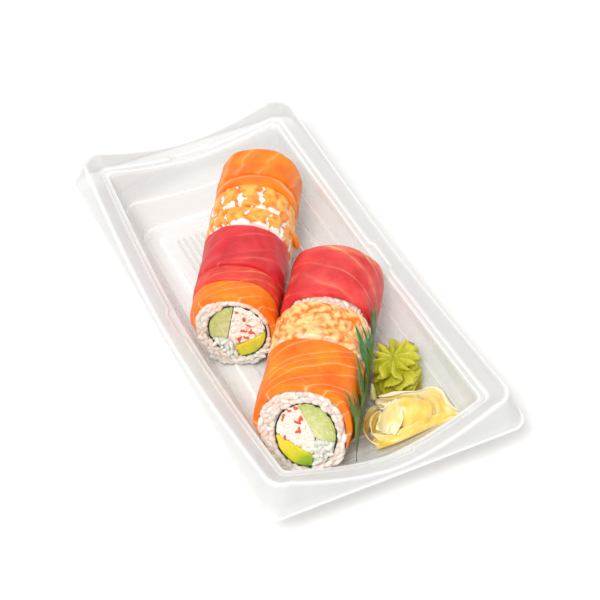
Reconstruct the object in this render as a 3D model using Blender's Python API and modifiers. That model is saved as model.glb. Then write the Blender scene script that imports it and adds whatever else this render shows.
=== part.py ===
"""Takeaway sushi tray: a clear plastic tray with two rainbow rolls, wasabi, ginger and a leaf divider.

Metres, +Z up. The tray stands on its floor at z = 0, long along Y, centred on the Z axis.
Each roll is built in its own frame: u across, s along the roll from its front cut, v up.
"""
import math
import random

import bmesh
import bpy
from mathutils import Matrix, Vector

MM = 0.001
GAP = 0.3 * MM
WALL_CLEAR = 0.8 * MM

# Tray, outer flange and floor
TRAY_WIDTH = 120 * MM
TRAY_LENGTH = 240 * MM
SHEET = 0.8 * MM
FLANGE_Z = 21.2 * MM
FLANGE_LIP = 1.3 * MM
FLANGE_RADIUS = 7.5 * MM
FLOOR_HALF_X = 37.6 * MM
FLOOR_HALF_Y = 87.6 * MM
FLOOR_RADIUS = 9 * MM
PANEL_RISE = 0.5 * MM
GROOVE_INSET = 7.5 * MM
PANEL_INSET = 8.3 * MM

# Tray, rim and bead: heights at the corners, the middle of a long side and of a short side
RIM_HALF = (54.8 * MM, 114.8 * MM)
RIM_HEIGHTS = (34.5 * MM, 23.6 * MM, 22.8 * MM)
BEAD_HALF = (47.6 * MM, 107.6 * MM)
BEAD_HEIGHTS = (29.8 * MM, 21.6 * MM, 21.2 * MM)
BROW_HALF = (44.8 * MM, 104.8 * MM)
BROW_HEIGHTS = (28.8 * MM, 20.2 * MM, 19.8 * MM)
SIDE_BOW = 2.9 * MM
DIP_POWER = 1.67
WALL_POWER = 1.2
NOTCH_SHIFT = 1.7 * MM
NOTCH_LONG = 0.09
NOTCH_SHORT = 0.23
ARC_STEPS = 4

# Rolls: front bottom middle, turn about Z, length and half sizes
BASE_Z = 1.8 * MM
SECTION_STEPS = 32
FISH = 3.0 * MM
FISH_INNER = 2.6 * MM
TOP_POWER = 2.3
BOTTOM_POWER = 2.6
GRAIN_LENGTH = 5.4 * MM
GRAIN_WIDTH = 2.5 * MM
FRONT_GRAINS = 18
BACK_GRAINS = 10
NORI = 0.7 * MM
SHREDS = 6
SHRED_HALF = 2.0 * MM
SHRED_RADIUS = 0.9 * MM

ROLL_A = {
    "front": (-30.1 * MM, -16.2 * MM),
    "turn": math.radians(31.0),
    "length": 103.0 * MM,
    "left": 19.8 * MM,
    "right": 19.6 * MM,
    "half_height": 20.8 * MM,
    "cut_tilt": 0.0,
    "core": (2.1 * MM, 20.7 * MM),
    "core_radii": (12.9 * MM, 15.2 * MM),
    "nori_ends": (math.radians(-92), math.radians(234)),
    "cucumber": ((-2.2 * MM, 17.5 * MM), math.radians(169), 16.2 * MM),
    "avocado": ((6.6 * MM, 15.4 * MM), math.radians(-53), 60 * MM),
    "inner_rice": ((-1.5 * MM, 15.4 * MM), math.radians(200)),
    "seed": 11,
}
ROLL_B = {
    "front": (-26.9 * MM, -83.1 * MM),
    "turn": math.radians(35.0),
    "length": 93.0 * MM,
    "left": 21.6 * MM,
    "right": 20.8 * MM,
    "half_height": 20.8 * MM,
    "cut_tilt": math.radians(17.5),
    "core": (1.2 * MM, 19.2 * MM),
    "core_radii": (12.9 * MM, 14.5 * MM),
    "nori_ends": (math.radians(-42), math.radians(291)),
    "cucumber": ((5.6 * MM, 17.8 * MM), math.radians(30), 17.4 * MM),
    "avocado": ((-3.2 * MM, 14.2 * MM), math.radians(-116), 18.2 * MM),
    "inner_rice": ((5.2 * MM, 17.0 * MM), math.radians(-3)),
    "seed": 23,
}
CUT_TILT_DEPTH = 34.2 * MM
PRESSED_LENGTH = 24 * MM

# Toppings: name, first and last place along the roll, lower edges in degrees, waves
TOPPINGS_A = (
    ("salmon_front", 0.0, 11.2, -22, 214, 0.30, 1),
    ("tuna_front", 11.6, 21.4, -22, 214, 0.25, 1),
    ("tuna_back", 21.8, 48.4, -34, 203, 0.35, 2),
    ("shrimp_front", 48.8, 61.2, -34, 214, 0.75, 3),
    ("shrimp_back", 61.6, 76.5, -22, 214, 0.75, 3),
    ("salmon_middle", 76.9, 84.3, -34, 203, 0.25, 1),
    ("salmon_back", 84.7, 103.0, -34, 203, 0.45, 2),
)
TOPPINGS_B = (
    ("salmon", 0.0, 34.2, -34, 225, 0.35, 2),
    ("shrimp", 34.6, 56.6, -22, 214, 0.75, 4),
    ("tuna", 62.2, 93.0, -34, 214, 0.40, 2),
)
OPEN_RICE_B = (57.0 * MM, 61.8 * MM)

# Wasabi, ginger and leaf divider
WASABI_CENTRE = (27.8 * MM, -58.2 * MM)
WASABI_RADIUS = 13.6 * MM
WASABI_HEIGHT = 19.0 * MM
WASABI_RIDGES = 10
DIVIDER_OFF = 1.0 * MM
DIVIDER_SHEET = 0.5 * MM

# Leaf divider: place along roll B, height of its lower edge, height of its cut upper edge
DIVIDER_CUTS = (
    (-2.6, 17.0, 19.0), (-0.6, 15.0, 27.0), (1.0, 12.0, 30.3), (2.2, 2.6, 31.2), (3.0, 2.6, 32.2),
    (4.4, 13.5, 33.4), (5.5, 17.0, 34.1), (9.5, 17.4, 37.2),
    (10.4, 17.5, 31.0), (11.6, 17.6, 34.2), (12.4, 17.6, 27.5), (13.0, 17.7, 29.6), (13.8, 17.7, 24.0),
    (17.0, 17.9, 28.8), (25.0, 21.5, 32.0), (31.5, 24.8, 36.6), (32.6, 25.0, 29.6), (41.0, 26.8, 33.6),
    (46.6, 27.5, 39.2), (47.3, 27.6, 35.0), (48.4, 27.7, 36.9), (49.3, 27.8, 32.4), (50.4, 27.9, 34.6),
    (51.4, 28.0, 29.2), (58.0, 27.6, 31.4), (64.0, 28.6, 32.6), (69.0, 31.6, 32.2),
)

COLOURS = {
    "clear_plastic": ((0.82, 0.84, 0.84), 0.12),
    "salmon": ((0.95, 0.33, 0.07), 0.38),
    "tuna": ((0.62, 0.06, 0.06), 0.4),
    "shrimp": ((0.95, 0.50, 0.25), 0.4),
    "rice": ((0.86, 0.78, 0.70), 0.45),
    "nori": ((0.02, 0.03, 0.02), 0.6),
    "crab": ((0.88, 0.80, 0.72), 0.55),
    "avocado": ((0.70, 0.68, 0.08), 0.5),
    "cucumber": ((0.62, 0.66, 0.26), 0.35),
    "wasabi": ((0.48, 0.50, 0.09), 0.6),
    "ginger": ((0.92, 0.74, 0.32), 0.35),
    "green_plastic": ((0.02, 0.22, 0.03), 0.3),
}


def clear_scene():
    for old in list(bpy.data.objects):
        bpy.data.objects.remove(old, do_unlink=True)


def new_collection(name):
    collection = bpy.data.collections.new(name)
    bpy.context.scene.collection.children.link(collection)
    return collection


def make_material(name):
    colour, roughness = COLOURS[name]
    material = bpy.data.materials.new(name)
    material.use_nodes = True
    shader = material.node_tree.nodes["Principled BSDF"]
    shader.inputs["Base Color"].default_value = (*colour, 1.0)
    shader.inputs["Roughness"].default_value = roughness
    shader.inputs["Metallic"].default_value = 0.0
    material.diffuse_color = (*colour, 1.0)
    return material


def add_mesh(name, bm, collection, material=None, smooth_angle=40):
    """Closes a bmesh into an object with outward faces."""
    bmesh.ops.recalc_face_normals(bm, faces=bm.faces)
    mesh = bpy.data.meshes.new(name)
    bm.to_mesh(mesh)
    bm.free()
    mesh.shade_smooth()
    mesh.set_sharp_from_angle(angle=math.radians(smooth_angle))
    if material:
        mesh.materials.append(material)
    thing = bpy.data.objects.new(name, mesh)
    collection.objects.link(thing)
    return thing


def mix(a, b, t):
    return a + (b - a) * t


def smooth_step(t):
    t = min(max(t, 0.0), 1.0)
    return t * t * (3 - 2 * t)


def bridge(bm, first, second, closed=True):
    """Quads between two rows of vertices of equal length."""
    count = len(first)
    last = count if closed else count - 1
    for i in range(last):
        j = (i + 1) % count
        bm.faces.new((first[i], first[j], second[j], second[i]))


def side_blend(t):
    """0 in the middle of a side, 1 at its corners."""
    return min(abs(t), 1.0) ** DIP_POWER


def tray_ring(half, radius, heights, bow=0.0, notch=0.0):
    """One closed row of points round the tray, all rows in the same order."""
    long_stops = (-0.8, -0.55, -0.3, -NOTCH_LONG - 0.01, -NOTCH_LONG + 0.01,
                  NOTCH_LONG - 0.01, NOTCH_LONG + 0.01, 0.3, 0.55, 0.8)
    short_stops = (-0.75, -0.45, -NOTCH_SHORT - 0.02, -NOTCH_SHORT + 0.02,
                   NOTCH_SHORT - 0.02, NOTCH_SHORT + 0.02, 0.45, 0.75)
    corner_z = heights[0]
    points = []
    sides = (((1, 0), (0, 1)), ((0, 1), (-1, 0)), ((-1, 0), (0, -1)), ((0, -1), (1, 0)))
    for number, (out, along) in enumerate(sides):
        is_long = number % 2 == 0
        half_out = half[0] if is_long else half[1]
        half_along = (half[1] if is_long else half[0]) - radius
        middle_z = heights[1] if is_long else heights[2]
        notch_end = NOTCH_LONG if is_long else NOTCH_SHORT
        for t in long_stops if is_long else short_stops:
            blend = side_blend(t)
            reach = half_out + bow * (1 - blend)
            if abs(t) < notch_end:
                reach += notch
            z = mix(middle_z, corner_z, blend)
            points.append((out[0] * reach + along[0] * t * half_along,
                           out[1] * reach + along[1] * t * half_along, z))
        for step in range(ARC_STEPS + 1):
            angle = math.pi / 2 * step / ARC_STEPS
            reach = half_out - radius + radius * math.cos(angle)
            run = half_along + radius * math.sin(angle)
            points.append((out[0] * reach + along[0] * run, out[1] * reach + along[1] * run, corner_z))
    return points


def tray_rows():
    """Rows of the tray's upper surface, from the flange's edge in to the floor's middle."""
    flat = lambda z: (z, z, z)
    shrink = lambda half, by: (half[0] - by, half[1] - by)
    outer = (TRAY_WIDTH / 2, TRAY_LENGTH / 2)
    floor_z = SHEET
    rows = [
        tray_ring(outer, FLANGE_RADIUS, flat(FLANGE_Z)),
        tray_ring(shrink(outer, FLANGE_LIP), FLANGE_RADIUS - 1 * MM, flat(FLANGE_Z + 0.2 * MM)),
        tray_ring(shrink(RIM_HALF, -0.7 * MM), 8.6 * MM, tuple(z - 0.9 * MM for z in RIM_HEIGHTS), SIDE_BOW),
        tray_ring(shrink(RIM_HALF, 0.5 * MM), 8.2 * MM, RIM_HEIGHTS, SIDE_BOW),
        tray_ring(BEAD_HALF, 4.5 * MM, BEAD_HEIGHTS, SIDE_BOW, NOTCH_SHIFT),
        tray_ring(shrink(BEAD_HALF, 0.8 * MM), 4.2 * MM, tuple(z - 1.0 * MM for z in BEAD_HEIGHTS),
                  SIDE_BOW, NOTCH_SHIFT),
        tray_ring(BROW_HALF, 3.8 * MM, BROW_HEIGHTS, SIDE_BOW),
    ]
    for depth in (0.15, 0.5, 0.8, 1.0):
        half = (mix(BROW_HALF[0], FLOOR_HALF_X, depth), mix(BROW_HALF[1], FLOOR_HALF_Y, depth))
        heights = tuple(floor_z + (z - floor_z) * (1 - depth) ** WALL_POWER for z in BROW_HEIGHTS)
        rows.append(tray_ring(half, mix(3.8 * MM, FLOOR_RADIUS, depth), heights, SIDE_BOW * (1 - depth)))
    floor = (FLOOR_HALF_X, FLOOR_HALF_Y)
    rows.append(tray_ring(shrink(floor, GROOVE_INSET), 4 * MM, flat(floor_z)))
    rows.append(tray_ring(shrink(floor, PANEL_INSET), 3.4 * MM, flat(floor_z + PANEL_RISE)))
    return rows


def build_tray(collection, material):
    bm = bmesh.new()
    rows = [[bm.verts.new(point) for point in row] for row in tray_rows()]
    for outer, inner in zip(rows, rows[1:]):
        bridge(bm, outer, inner)
    bm.faces.new(rows[-1])
    bmesh.ops.recalc_face_normals(bm, faces=bm.faces)
    if bm.faces[0].normal.z < 0:
        bmesh.ops.reverse_faces(bm, faces=bm.faces)
    mesh = bpy.data.meshes.new("tray")
    bm.to_mesh(mesh)
    bm.free()
    mesh.shade_smooth()
    mesh.set_sharp_from_angle(angle=math.radians(30))
    mesh.materials.append(material)
    tray = bpy.data.objects.new("tray", mesh)
    collection.objects.link(tray)
    shell = tray.modifiers.new("sheet", "SOLIDIFY")
    shell.thickness = SHEET
    shell.offset = -1.0
    return tray


def wall_reach(z, brow_z, brow, floor):
    """How far out the inner wall stands at a height."""
    rise = min(max((z - SHEET) / (brow_z - SHEET), 0.0), 1.0)
    return floor + (brow - floor) * rise ** (1 / WALL_POWER)


def settle(point, clear):
    """Presses a soft surface's point in from the tray's walls and up off its floor."""
    x, y, z = point
    z = max(z, SHEET + PANEL_RISE + min(clear, 0.6 * MM))
    end = side_blend(x / BROW_HALF[0])
    side = side_blend(y / BROW_HALF[1])
    limit_x = wall_reach(z, mix(BROW_HEIGHTS[1], BROW_HEIGHTS[0], side), BROW_HALF[0], FLOOR_HALF_X) - clear
    limit_y = wall_reach(z, mix(BROW_HEIGHTS[2], BROW_HEIGHTS[0], end), BROW_HALF[1], FLOOR_HALF_Y) - clear
    return min(max(x, -limit_x), limit_x), min(max(y, -limit_y), limit_y), z


def roll_place(roll, u, v, s):
    """World place of a point of a roll; the front cut leans back from its foot."""
    lean = math.tan(roll["cut_tilt"]) * (v - roll["half_height"]) * max(0.0, 1 - s / CUT_TILT_DEPTH)
    along = s + lean
    turn = roll["turn"]
    x = roll["front"][0] + u * math.cos(turn) + along * math.sin(turn)
    y = roll["front"][1] - u * math.sin(turn) + along * math.cos(turn)
    return (x, y, BASE_Z + v)


def power_wave(value, power):
    return math.copysign(abs(value) ** (2 / power), value)


def section(roll, angle, inset):
    """A point of the roll's outline, brought in at the sides and the top by inset."""
    side = roll["right"] if math.cos(angle) > 0 else roll["left"]
    half = roll["half_height"] - inset / 2
    power = TOP_POWER if math.sin(angle) > 0 else BOTTOM_POWER
    u = (side - inset) * power_wave(math.cos(angle), power)
    v = half + half * power_wave(math.sin(angle), power)
    return u, v


def layer_point(roll, angle, inset, s):
    """A point of a layer round the roll, pressed in where the tray's wall is in its way."""
    return settle(roll_place(roll, *section(roll, angle, inset), s), WALL_CLEAR + inset)


def core_point(roll, angle, grow):
    """A point round the nori, grow outside its middle line."""
    radii = roll["core_radii"]
    return (roll["core"][0] + (radii[0] + grow) * math.cos(angle),
            roll["core"][1] + (radii[1] + grow) * math.sin(angle))


def loft_along(roll, bm, outline, stations):
    """A closed bar with one outline, run along the roll."""
    rows = [[bm.verts.new(roll_place(roll, u, v, s)) for u, v in outline] for s in stations]
    for first, second in zip(rows, rows[1:]):
        bridge(bm, first, second)
    bm.faces.new(rows[0])
    bm.faces.new(rows[-1])


def clip(outline, point, direction, margin=0.0):
    """Keeps the part of a convex outline that lies past a line, margin further in."""
    normal = (math.cos(direction), math.sin(direction))
    depth = [(u - point[0]) * normal[0] + (v - point[1]) * normal[1] - margin for u, v in outline]
    kept = []
    for i, (u, v) in enumerate(outline):
        j = (i + 1) % len(outline)
        if depth[i] >= 0:
            kept.append((u, v))
        if (depth[i] >= 0) != (depth[j] >= 0):
            t = depth[i] / (depth[i] - depth[j])
            kept.append((mix(u, outline[j][0], t), mix(v, outline[j][1], t)))
    return kept


def core_disc(roll):
    steps = SECTION_STEPS
    inside = -NORI / 2 - GAP
    return [core_point(roll, 2 * math.pi * i / steps, inside) for i in range(steps)]


UP = math.radians(90)
DOWN = math.radians(-90)
HALF_TURN = math.pi


def inner_rice_outline(roll):
    corner, direction = roll["inner_rice"]
    outline = clip(core_disc(roll), corner, direction)
    return clip(outline, corner, DOWN)


def filling_outlines(roll):
    """Cucumber, avocado and crab: the core's disc shared out by straight cuts."""
    disc = core_disc(roll)
    cucumber_at, cucumber_side, cucumber_low = roll["cucumber"]
    avocado_at, avocado_side, avocado_high = roll["avocado"]
    rice_at, rice_side = roll["inner_rice"]
    half_gap = GAP / 2
    cucumber = clip(disc, cucumber_at, cucumber_side, half_gap)
    cucumber = clip(cucumber, (0, cucumber_low), UP, half_gap)
    avocado = clip(disc, avocado_at, avocado_side, half_gap)
    avocado = clip(avocado, (0, avocado_high), DOWN, half_gap)
    avocado = clip(avocado, rice_at, rice_side + HALF_TURN, GAP)
    crab = clip(disc, cucumber_at, cucumber_side + HALF_TURN, half_gap)
    crab = clip(crab, avocado_at, avocado_side + HALF_TURN, half_gap)
    crab = clip(crab, rice_at, rice_side + HALF_TURN, GAP)
    return {"cucumber": cucumber, "avocado": avocado, "crab": crab}


def add_blob(name, centre, axes, radii, collection, segments=5, rings=3):
    """A small ellipsoid with its long axis along axes[0]."""
    bm = bmesh.new()
    bmesh.ops.create_uvsphere(bm, u_segments=segments, v_segments=rings, radius=1.0)
    across, side, up = axes
    turn = Matrix((across, side, up)).transposed().to_4x4()
    size = Matrix.Diagonal((radii[1], radii[2], radii[0], 1.0))
    lay = Matrix.Rotation(math.pi / 2, 4, "Y")
    bmesh.ops.transform(bm, matrix=Matrix.Translation(centre) @ turn @ lay @ size, verts=bm.verts)
    return add_mesh(name, bm, collection)


def roll_axes(roll, spin, tip=0.0):
    """Axes for a small piece: spin turns it in the cut's plane, tip lays it along the roll."""
    turn = roll["turn"]
    right = Vector((math.cos(turn), -math.sin(turn), 0))
    back = Vector((math.sin(turn), math.cos(turn), 0))
    up = Vector((0, 0, 1))
    flat = right * math.cos(spin) + up * math.sin(spin)
    first = (flat * math.cos(tip) + back * math.sin(tip)).normalized()
    second = (back * math.cos(tip) - flat * math.sin(tip)).normalized()
    return first, second, first.cross(second)


def keep_largest_body(mesh):
    """Drops loose scraps and sealed hollows that a union leaves."""
    bm = bmesh.new()
    bm.from_mesh(mesh)
    waiting = set(bm.verts)
    islands = []
    while waiting:
        island = set()
        edge = [waiting.pop()]
        while edge:
            vert = edge.pop()
            island.add(vert)
            for link in vert.link_edges:
                other = link.other_vert(vert)
                if other in waiting:
                    waiting.remove(other)
                    edge.append(other)
        islands.append(island)
    largest = max(islands, key=len)
    bmesh.ops.delete(bm, geom=[vert for vert in bm.verts if vert not in largest], context="VERTS")
    bm.to_mesh(mesh)
    bm.free()


def fuse(core, pieces):
    """One union of a core with the small pieces of a collection, which then go."""
    union = core.modifiers.new("fuse", "BOOLEAN")
    union.operation = "UNION"
    union.operand_type = "COLLECTION"
    union.collection = pieces
    union.solver = "MANIFOLD"
    bpy.context.view_layer.update()
    graph = bpy.context.evaluated_depsgraph_get()
    joined = bpy.data.meshes.new_from_object(core.evaluated_get(graph))
    core.modifiers.clear()
    keep_largest_body(joined)
    materials = list(core.data.materials)
    core.data = joined
    joined.materials.clear()
    for material in materials:
        joined.materials.append(material)
    for piece in list(pieces.objects):
        bpy.data.objects.remove(piece, do_unlink=True)
    bpy.data.collections.remove(pieces)


def ring_middle(roll, angle):
    """Middle of the rice between nori and fish, and the room on each side of it."""
    u_in, v_in = core_point(roll, angle, NORI / 2 + GAP)
    best = None
    for i in range(240):
        u, v = section(roll, 2 * math.pi * i / 240, FISH)
        off = abs(math.atan2(v - roll["core"][1], u - roll["core"][0]) - math.atan2(
            v_in - roll["core"][1], u_in - roll["core"][0]))
        off = min(off, 2 * math.pi - off)
        if best is None or off < best[0]:
            best = (off, u, v)
    room = math.hypot(best[1] - u_in, best[2] - v_in) / 2
    return ((best[1] + u_in) / 2, (best[2] + v_in) / 2, room)


def cut_grains(roll, s, facing, pieces, rng, count):
    """Grains standing out of a cut face, round the ring of rice."""
    for i in range(count):
        angle = 2 * math.pi * (i + 0.3 * rng.random()) / count
        u, v, room = ring_middle(roll, angle)
        if v < 2.2 * MM:
            continue
        half_wide = min(GRAIN_WIDTH / 2, room * 0.62)
        spin = angle + math.pi / 2 + rng.uniform(-0.25, 0.25)
        place = Vector(roll_place(roll, u, v, s)) + roll_axes(roll, 0)[1] * facing * 0.35 * MM
        add_blob("grain", place, roll_axes(roll, spin, rng.uniform(-0.15, 0.15)),
                 (GRAIN_LENGTH / 2 * rng.uniform(0.85, 1.0), half_wide, half_wide), pieces)


def flank_grains(roll, stations, angles, pieces, rng):
    """Grains on the roll's outer face, where no fish covers it."""
    for s in stations:
        for angle in angles:
            aim = angle + rng.uniform(-0.05, 0.05)
            u, v = section(roll, aim, FISH + 0.55 * MM)
            place = roll_place(roll, u, v, s + rng.uniform(-0.8, 0.8) * MM)
            tip = rng.uniform(0.6, 1.3)
            add_blob("grain", place, roll_axes(roll, aim + math.pi / 2, tip),
                     (GRAIN_LENGTH / 2 * rng.uniform(0.85, 1.0), GRAIN_WIDTH / 2, GRAIN_WIDTH / 2), pieces)


def build_rice(prefix, roll, toppings, collection, material):
    """Ring of rice round the nori, with the grains that show at its cuts and flanks."""
    rng = random.Random(roll["seed"])
    bm = bmesh.new()
    steps = SECTION_STEPS
    angles = [2 * math.pi * i / steps for i in range(steps)]
    bends = sorted({s for spec in toppings for s in topping_bends(spec) if s < PRESSED_LENGTH})
    outer_rows = [[bm.verts.new(layer_point(roll, angle, FISH, s)) for angle in angles]
                  for s in bends + [CUT_TILT_DEPTH, roll["length"]]]
    inner_rows = [[bm.verts.new(roll_place(roll, *core_point(roll, angle, NORI / 2 + GAP), s))
                   for angle in angles] for s in (0, CUT_TILT_DEPTH, roll["length"])]
    for first, second in zip(outer_rows, outer_rows[1:]):
        bridge(bm, first, second)
    for first, second in zip(inner_rows, inner_rows[1:]):
        bridge(bm, first, second)
    bridge(bm, outer_rows[0], inner_rows[0])
    bridge(bm, outer_rows[-1], inner_rows[-1])
    rice = add_mesh(prefix + "_rice", bm, collection, material, 60)

    pieces = new_collection(prefix + "_grains")
    tongue = bmesh.new()
    loft_along(roll, tongue, inner_rice_outline(roll), [0, CUT_TILT_DEPTH, roll["length"]])
    add_mesh("tongue", tongue, pieces)
    neck = bmesh.new()
    first_end, last_end = roll["nori_ends"]
    opening = [last_end + GAP / (10 * MM), first_end + 2 * math.pi - GAP / (10 * MM)]
    middle = (opening[0] + opening[1]) / 2
    neck_angles = [opening[0] + 0.03, middle, opening[1] - 0.03]
    neck_outline = [core_point(roll, a, -2.5 * MM) for a in neck_angles]
    neck_outline += [core_point(roll, a, 1.6 * MM) for a in reversed(neck_angles)]
    loft_along(roll, neck, neck_outline, [0, CUT_TILT_DEPTH, roll["length"]])
    add_mesh("neck", neck, pieces)
    cut_grains(roll, 0, -1, pieces, rng, FRONT_GRAINS)
    cut_grains(roll, roll["length"], 1, pieces, rng, BACK_GRAINS)
    flank_angles = [math.radians(a) for a in (-52, 232)]
    flank_stations = [s * MM for s in range(14, int(roll["length"] / MM) - 4, 19)]
    flank_grains(roll, flank_stations, flank_angles, pieces, rng)
    if prefix == "roll_b":
        top_angles = [math.radians(a) for a in range(12, 180, 20)]
        flank_grains(roll, [sum(OPEN_RICE_B) / 2], top_angles, pieces, rng)
    fuse(rice, pieces)
    return rice


def build_nori(prefix, roll, collection, material):
    first_end, last_end = roll["nori_ends"]
    steps = 24
    angles = [mix(first_end, last_end, i / steps) for i in range(steps + 1)]
    outline = [core_point(roll, angle, NORI / 2) for angle in angles]
    outline += [core_point(roll, angle, -NORI / 2) for angle in reversed(angles)]
    bm = bmesh.new()
    loft_along(roll, bm, outline, [0.2 * MM, CUT_TILT_DEPTH, roll["length"] - 0.2 * MM])
    return add_mesh(prefix + "_nori", bm, collection, material)


def build_fillings(prefix, roll, collection, materials):
    proud = {"cucumber": 0.1 * MM, "avocado": -0.2 * MM, "crab": -0.5 * MM}
    for name, outline in filling_outlines(roll).items():
        bm = bmesh.new()
        start = -proud[name]
        loft_along(roll, bm, outline, [start, CUT_TILT_DEPTH, roll["length"] - start])
        filling = add_mesh(prefix + "_" + name, bm, collection, materials[name])
        if name == "crab":
            add_crab_shreds(roll, filling, outline)


def inner_room(outline, u, v):
    """Least distance from a point to the edges of a convex outline that runs anticlockwise."""
    least = 1.0
    for i, (u0, v0) in enumerate(outline):
        u1, v1 = outline[(i + 1) % len(outline)]
        length = math.hypot(u1 - u0, v1 - v0)
        if length > 0.01 * MM:
            least = min(least, ((u1 - u0) * (v - v0) - (v1 - v0) * (u - u0)) / length)
    return least


def add_crab_shreds(roll, core, outline):
    """Short shreds standing out of both cut faces of the crab."""
    rng = random.Random(roll["seed"] + 5)
    pieces = new_collection(core.name + "_shreds")
    low_u, high_u = min(u for u, _ in outline), max(u for u, _ in outline)
    low_v, high_v = min(v for _, v in outline), max(v for _, v in outline)
    for s, facing in ((0, -1), (roll["length"], 1)):
        made = 0
        for _ in range(400):
            u = rng.uniform(low_u, high_u)
            v = rng.uniform(low_v, high_v)
            spin = rng.uniform(0, math.pi)
            ends = [(u + k * SHRED_HALF * math.cos(spin), v + k * SHRED_HALF * math.sin(spin)) for k in (-1, 1)]
            if made >= SHREDS or min(inner_room(outline, *end) for end in ends) < SHRED_RADIUS:
                continue
            made += 1
            place = Vector(roll_place(roll, u, v, s)) + roll_axes(roll, 0)[1] * facing * 0.05 * MM
            add_blob("shred", place, roll_axes(roll, spin), (SHRED_HALF, SHRED_RADIUS, SHRED_RADIUS), pieces)
    fuse(core, pieces)


def topping_bends(spec):
    """Places along the roll where a slice starts, bends and ends."""
    _, start, end, _, _, _, waves = spec
    return [mix(start, end, i / (waves + 1)) * MM for i in range(waves + 2)]


def build_topping(name, roll, spec, collection, material):
    """A slice of fish laid over the roll, thin at its lower edges, with soft waves."""
    _, start, end, low_right, low_left, wave, _ = spec
    start *= MM
    end *= MM
    step = 2 * math.pi / SECTION_STEPS
    first = round(math.radians(low_right) / step)
    last = round(math.radians(low_left) / step)
    angles = [step * i for i in range(first, last + 1)]
    rounding = min(1.2 * MM, (end - start) / 5)
    bends = topping_bends(spec)
    rows_wanted = [start, start + rounding] + bends[1:-1] + [end - rounding, end]
    bm = bmesh.new()
    phase = start / MM
    rows = []
    for number, s in enumerate(rows_wanted):
        at_edge = number in (0, len(rows_wanted) - 1)
        row = []
        for k, angle in enumerate(angles):
            edge = min(k, len(angles) - 1 - k) / 3
            thick = mix(0.9 * MM, FISH_INNER, smooth_step(edge))
            ripple = wave * MM * 0.5 * (math.sin(2.3 * angle + phase) + math.sin(5.1 * angle + number * 2.1 + phase))
            lift = 0.0 if at_edge else ripple * smooth_step(edge)
            thick = max(thick + min(lift, 0.3 * MM) - (0.7 * MM if at_edge else 0.0), 0.6 * MM)
            row.append(bm.verts.new(layer_point(roll, angle, FISH_INNER - thick, s)))
        rows.append(row)
    under = [[bm.verts.new(layer_point(roll, angle, FISH_INNER, s)) for angle in angles] for s in bends]
    for one, two in list(zip(rows, rows[1:])) + list(zip(under, under[1:])):
        bridge(bm, one, two, closed=False)
    bridge(bm, rows[0], under[0], closed=False)
    bridge(bm, rows[-1], under[-1], closed=False)
    for column in (0, -1):
        bm.faces.new([row[column] for row in rows] + [row[column] for row in reversed(under)])
    return add_mesh(name, bm, collection, material, 50)


def build_tuna_scrap(roll, collection, material):
    """The dark end of a tuna slice that lies in the gap of roll B, on its right shoulder."""
    bm = bmesh.new()
    step = 2 * math.pi / SECTION_STEPS
    angles = [step * i for i in range(-2, 4)]
    stations = (OPEN_RICE_B[0], OPEN_RICE_B[1])
    outer = [[bm.verts.new(roll_place(roll, *section(roll, a, 0.9 * MM), s)) for a in angles] for s in stations]
    inner = [[bm.verts.new(roll_place(roll, *section(roll, a, FISH_INNER - 0.5 * MM), s)) for a in angles]
             for s in stations]
    bridge(bm, outer[0], outer[1], closed=False)
    bridge(bm, inner[0], inner[1], closed=False)
    bridge(bm, outer[0], inner[0], closed=False)
    bridge(bm, outer[1], inner[1], closed=False)
    for column in (0, -1):
        bm.faces.new((outer[0][column], outer[1][column], inner[1][column], inner[0][column]))
    return add_mesh("roll_b_tuna_scrap", bm, collection, material)


def build_wasabi(collection, material):
    """A piped rosette: ridges that lean round as they rise, curled in at the top."""
    bm = bmesh.new()
    levels = ((0.0, 0.80), (0.10, 0.95), (0.26, 1.0), (0.45, 0.96), (0.64, 0.86), (0.82, 0.66), (0.95, 0.42),
              (1.0, 0.22))
    per_ridge = 5
    count = WASABI_RIDGES * per_ridge
    rows = []
    for level, reach in levels:
        row = []
        twist = 0.75 * level
        depth = mix(0.16, 0.34, smooth_step(level * 1.6))
        for i in range(count):
            angle = 2 * math.pi * i / count
            crest = 1 - abs(math.sin(WASABI_RIDGES * angle / 2)) ** 0.8
            radius = WASABI_RADIUS * reach * (1 - depth + depth * crest + 0.03 * math.sin(3 * angle + 1))
            lift = 1.6 * MM * crest * smooth_step(level)
            x = WASABI_CENTRE[0] + radius * math.cos(angle + twist)
            y = WASABI_CENTRE[1] + radius * math.sin(angle + twist)
            x, y = clear_of_divider(x, y)
            z = mix(BASE_Z, WASABI_HEIGHT, level) + lift
            row.append(bm.verts.new(settle((x, y, z), 0.8 * MM)))
        rows.append(row)
    for first, second in zip(rows, rows[1:]):
        bridge(bm, first, second)
    bm.faces.new(rows[0])
    bm.faces.new(rows[-1])
    return add_mesh("wasabi", bm, collection, material, 35)


def divider_side(x, y):
    """Distance of a place to the right of roll B's middle line."""
    turn = ROLL_B["turn"]
    dx = x - ROLL_B["front"][0]
    dy = y - ROLL_B["front"][1]
    return dx * math.cos(turn) - dy * math.sin(turn)


def clear_of_divider(x, y):
    """Pushes a soft piece off the leaf divider."""
    short = ROLL_B["right"] + DIVIDER_OFF + DIVIDER_SHEET + 0.4 * MM - divider_side(x, y)
    if short > 0:
        turn = ROLL_B["turn"]
        x += short * math.cos(turn)
        y -= short * math.sin(turn)
    return x, y


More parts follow.
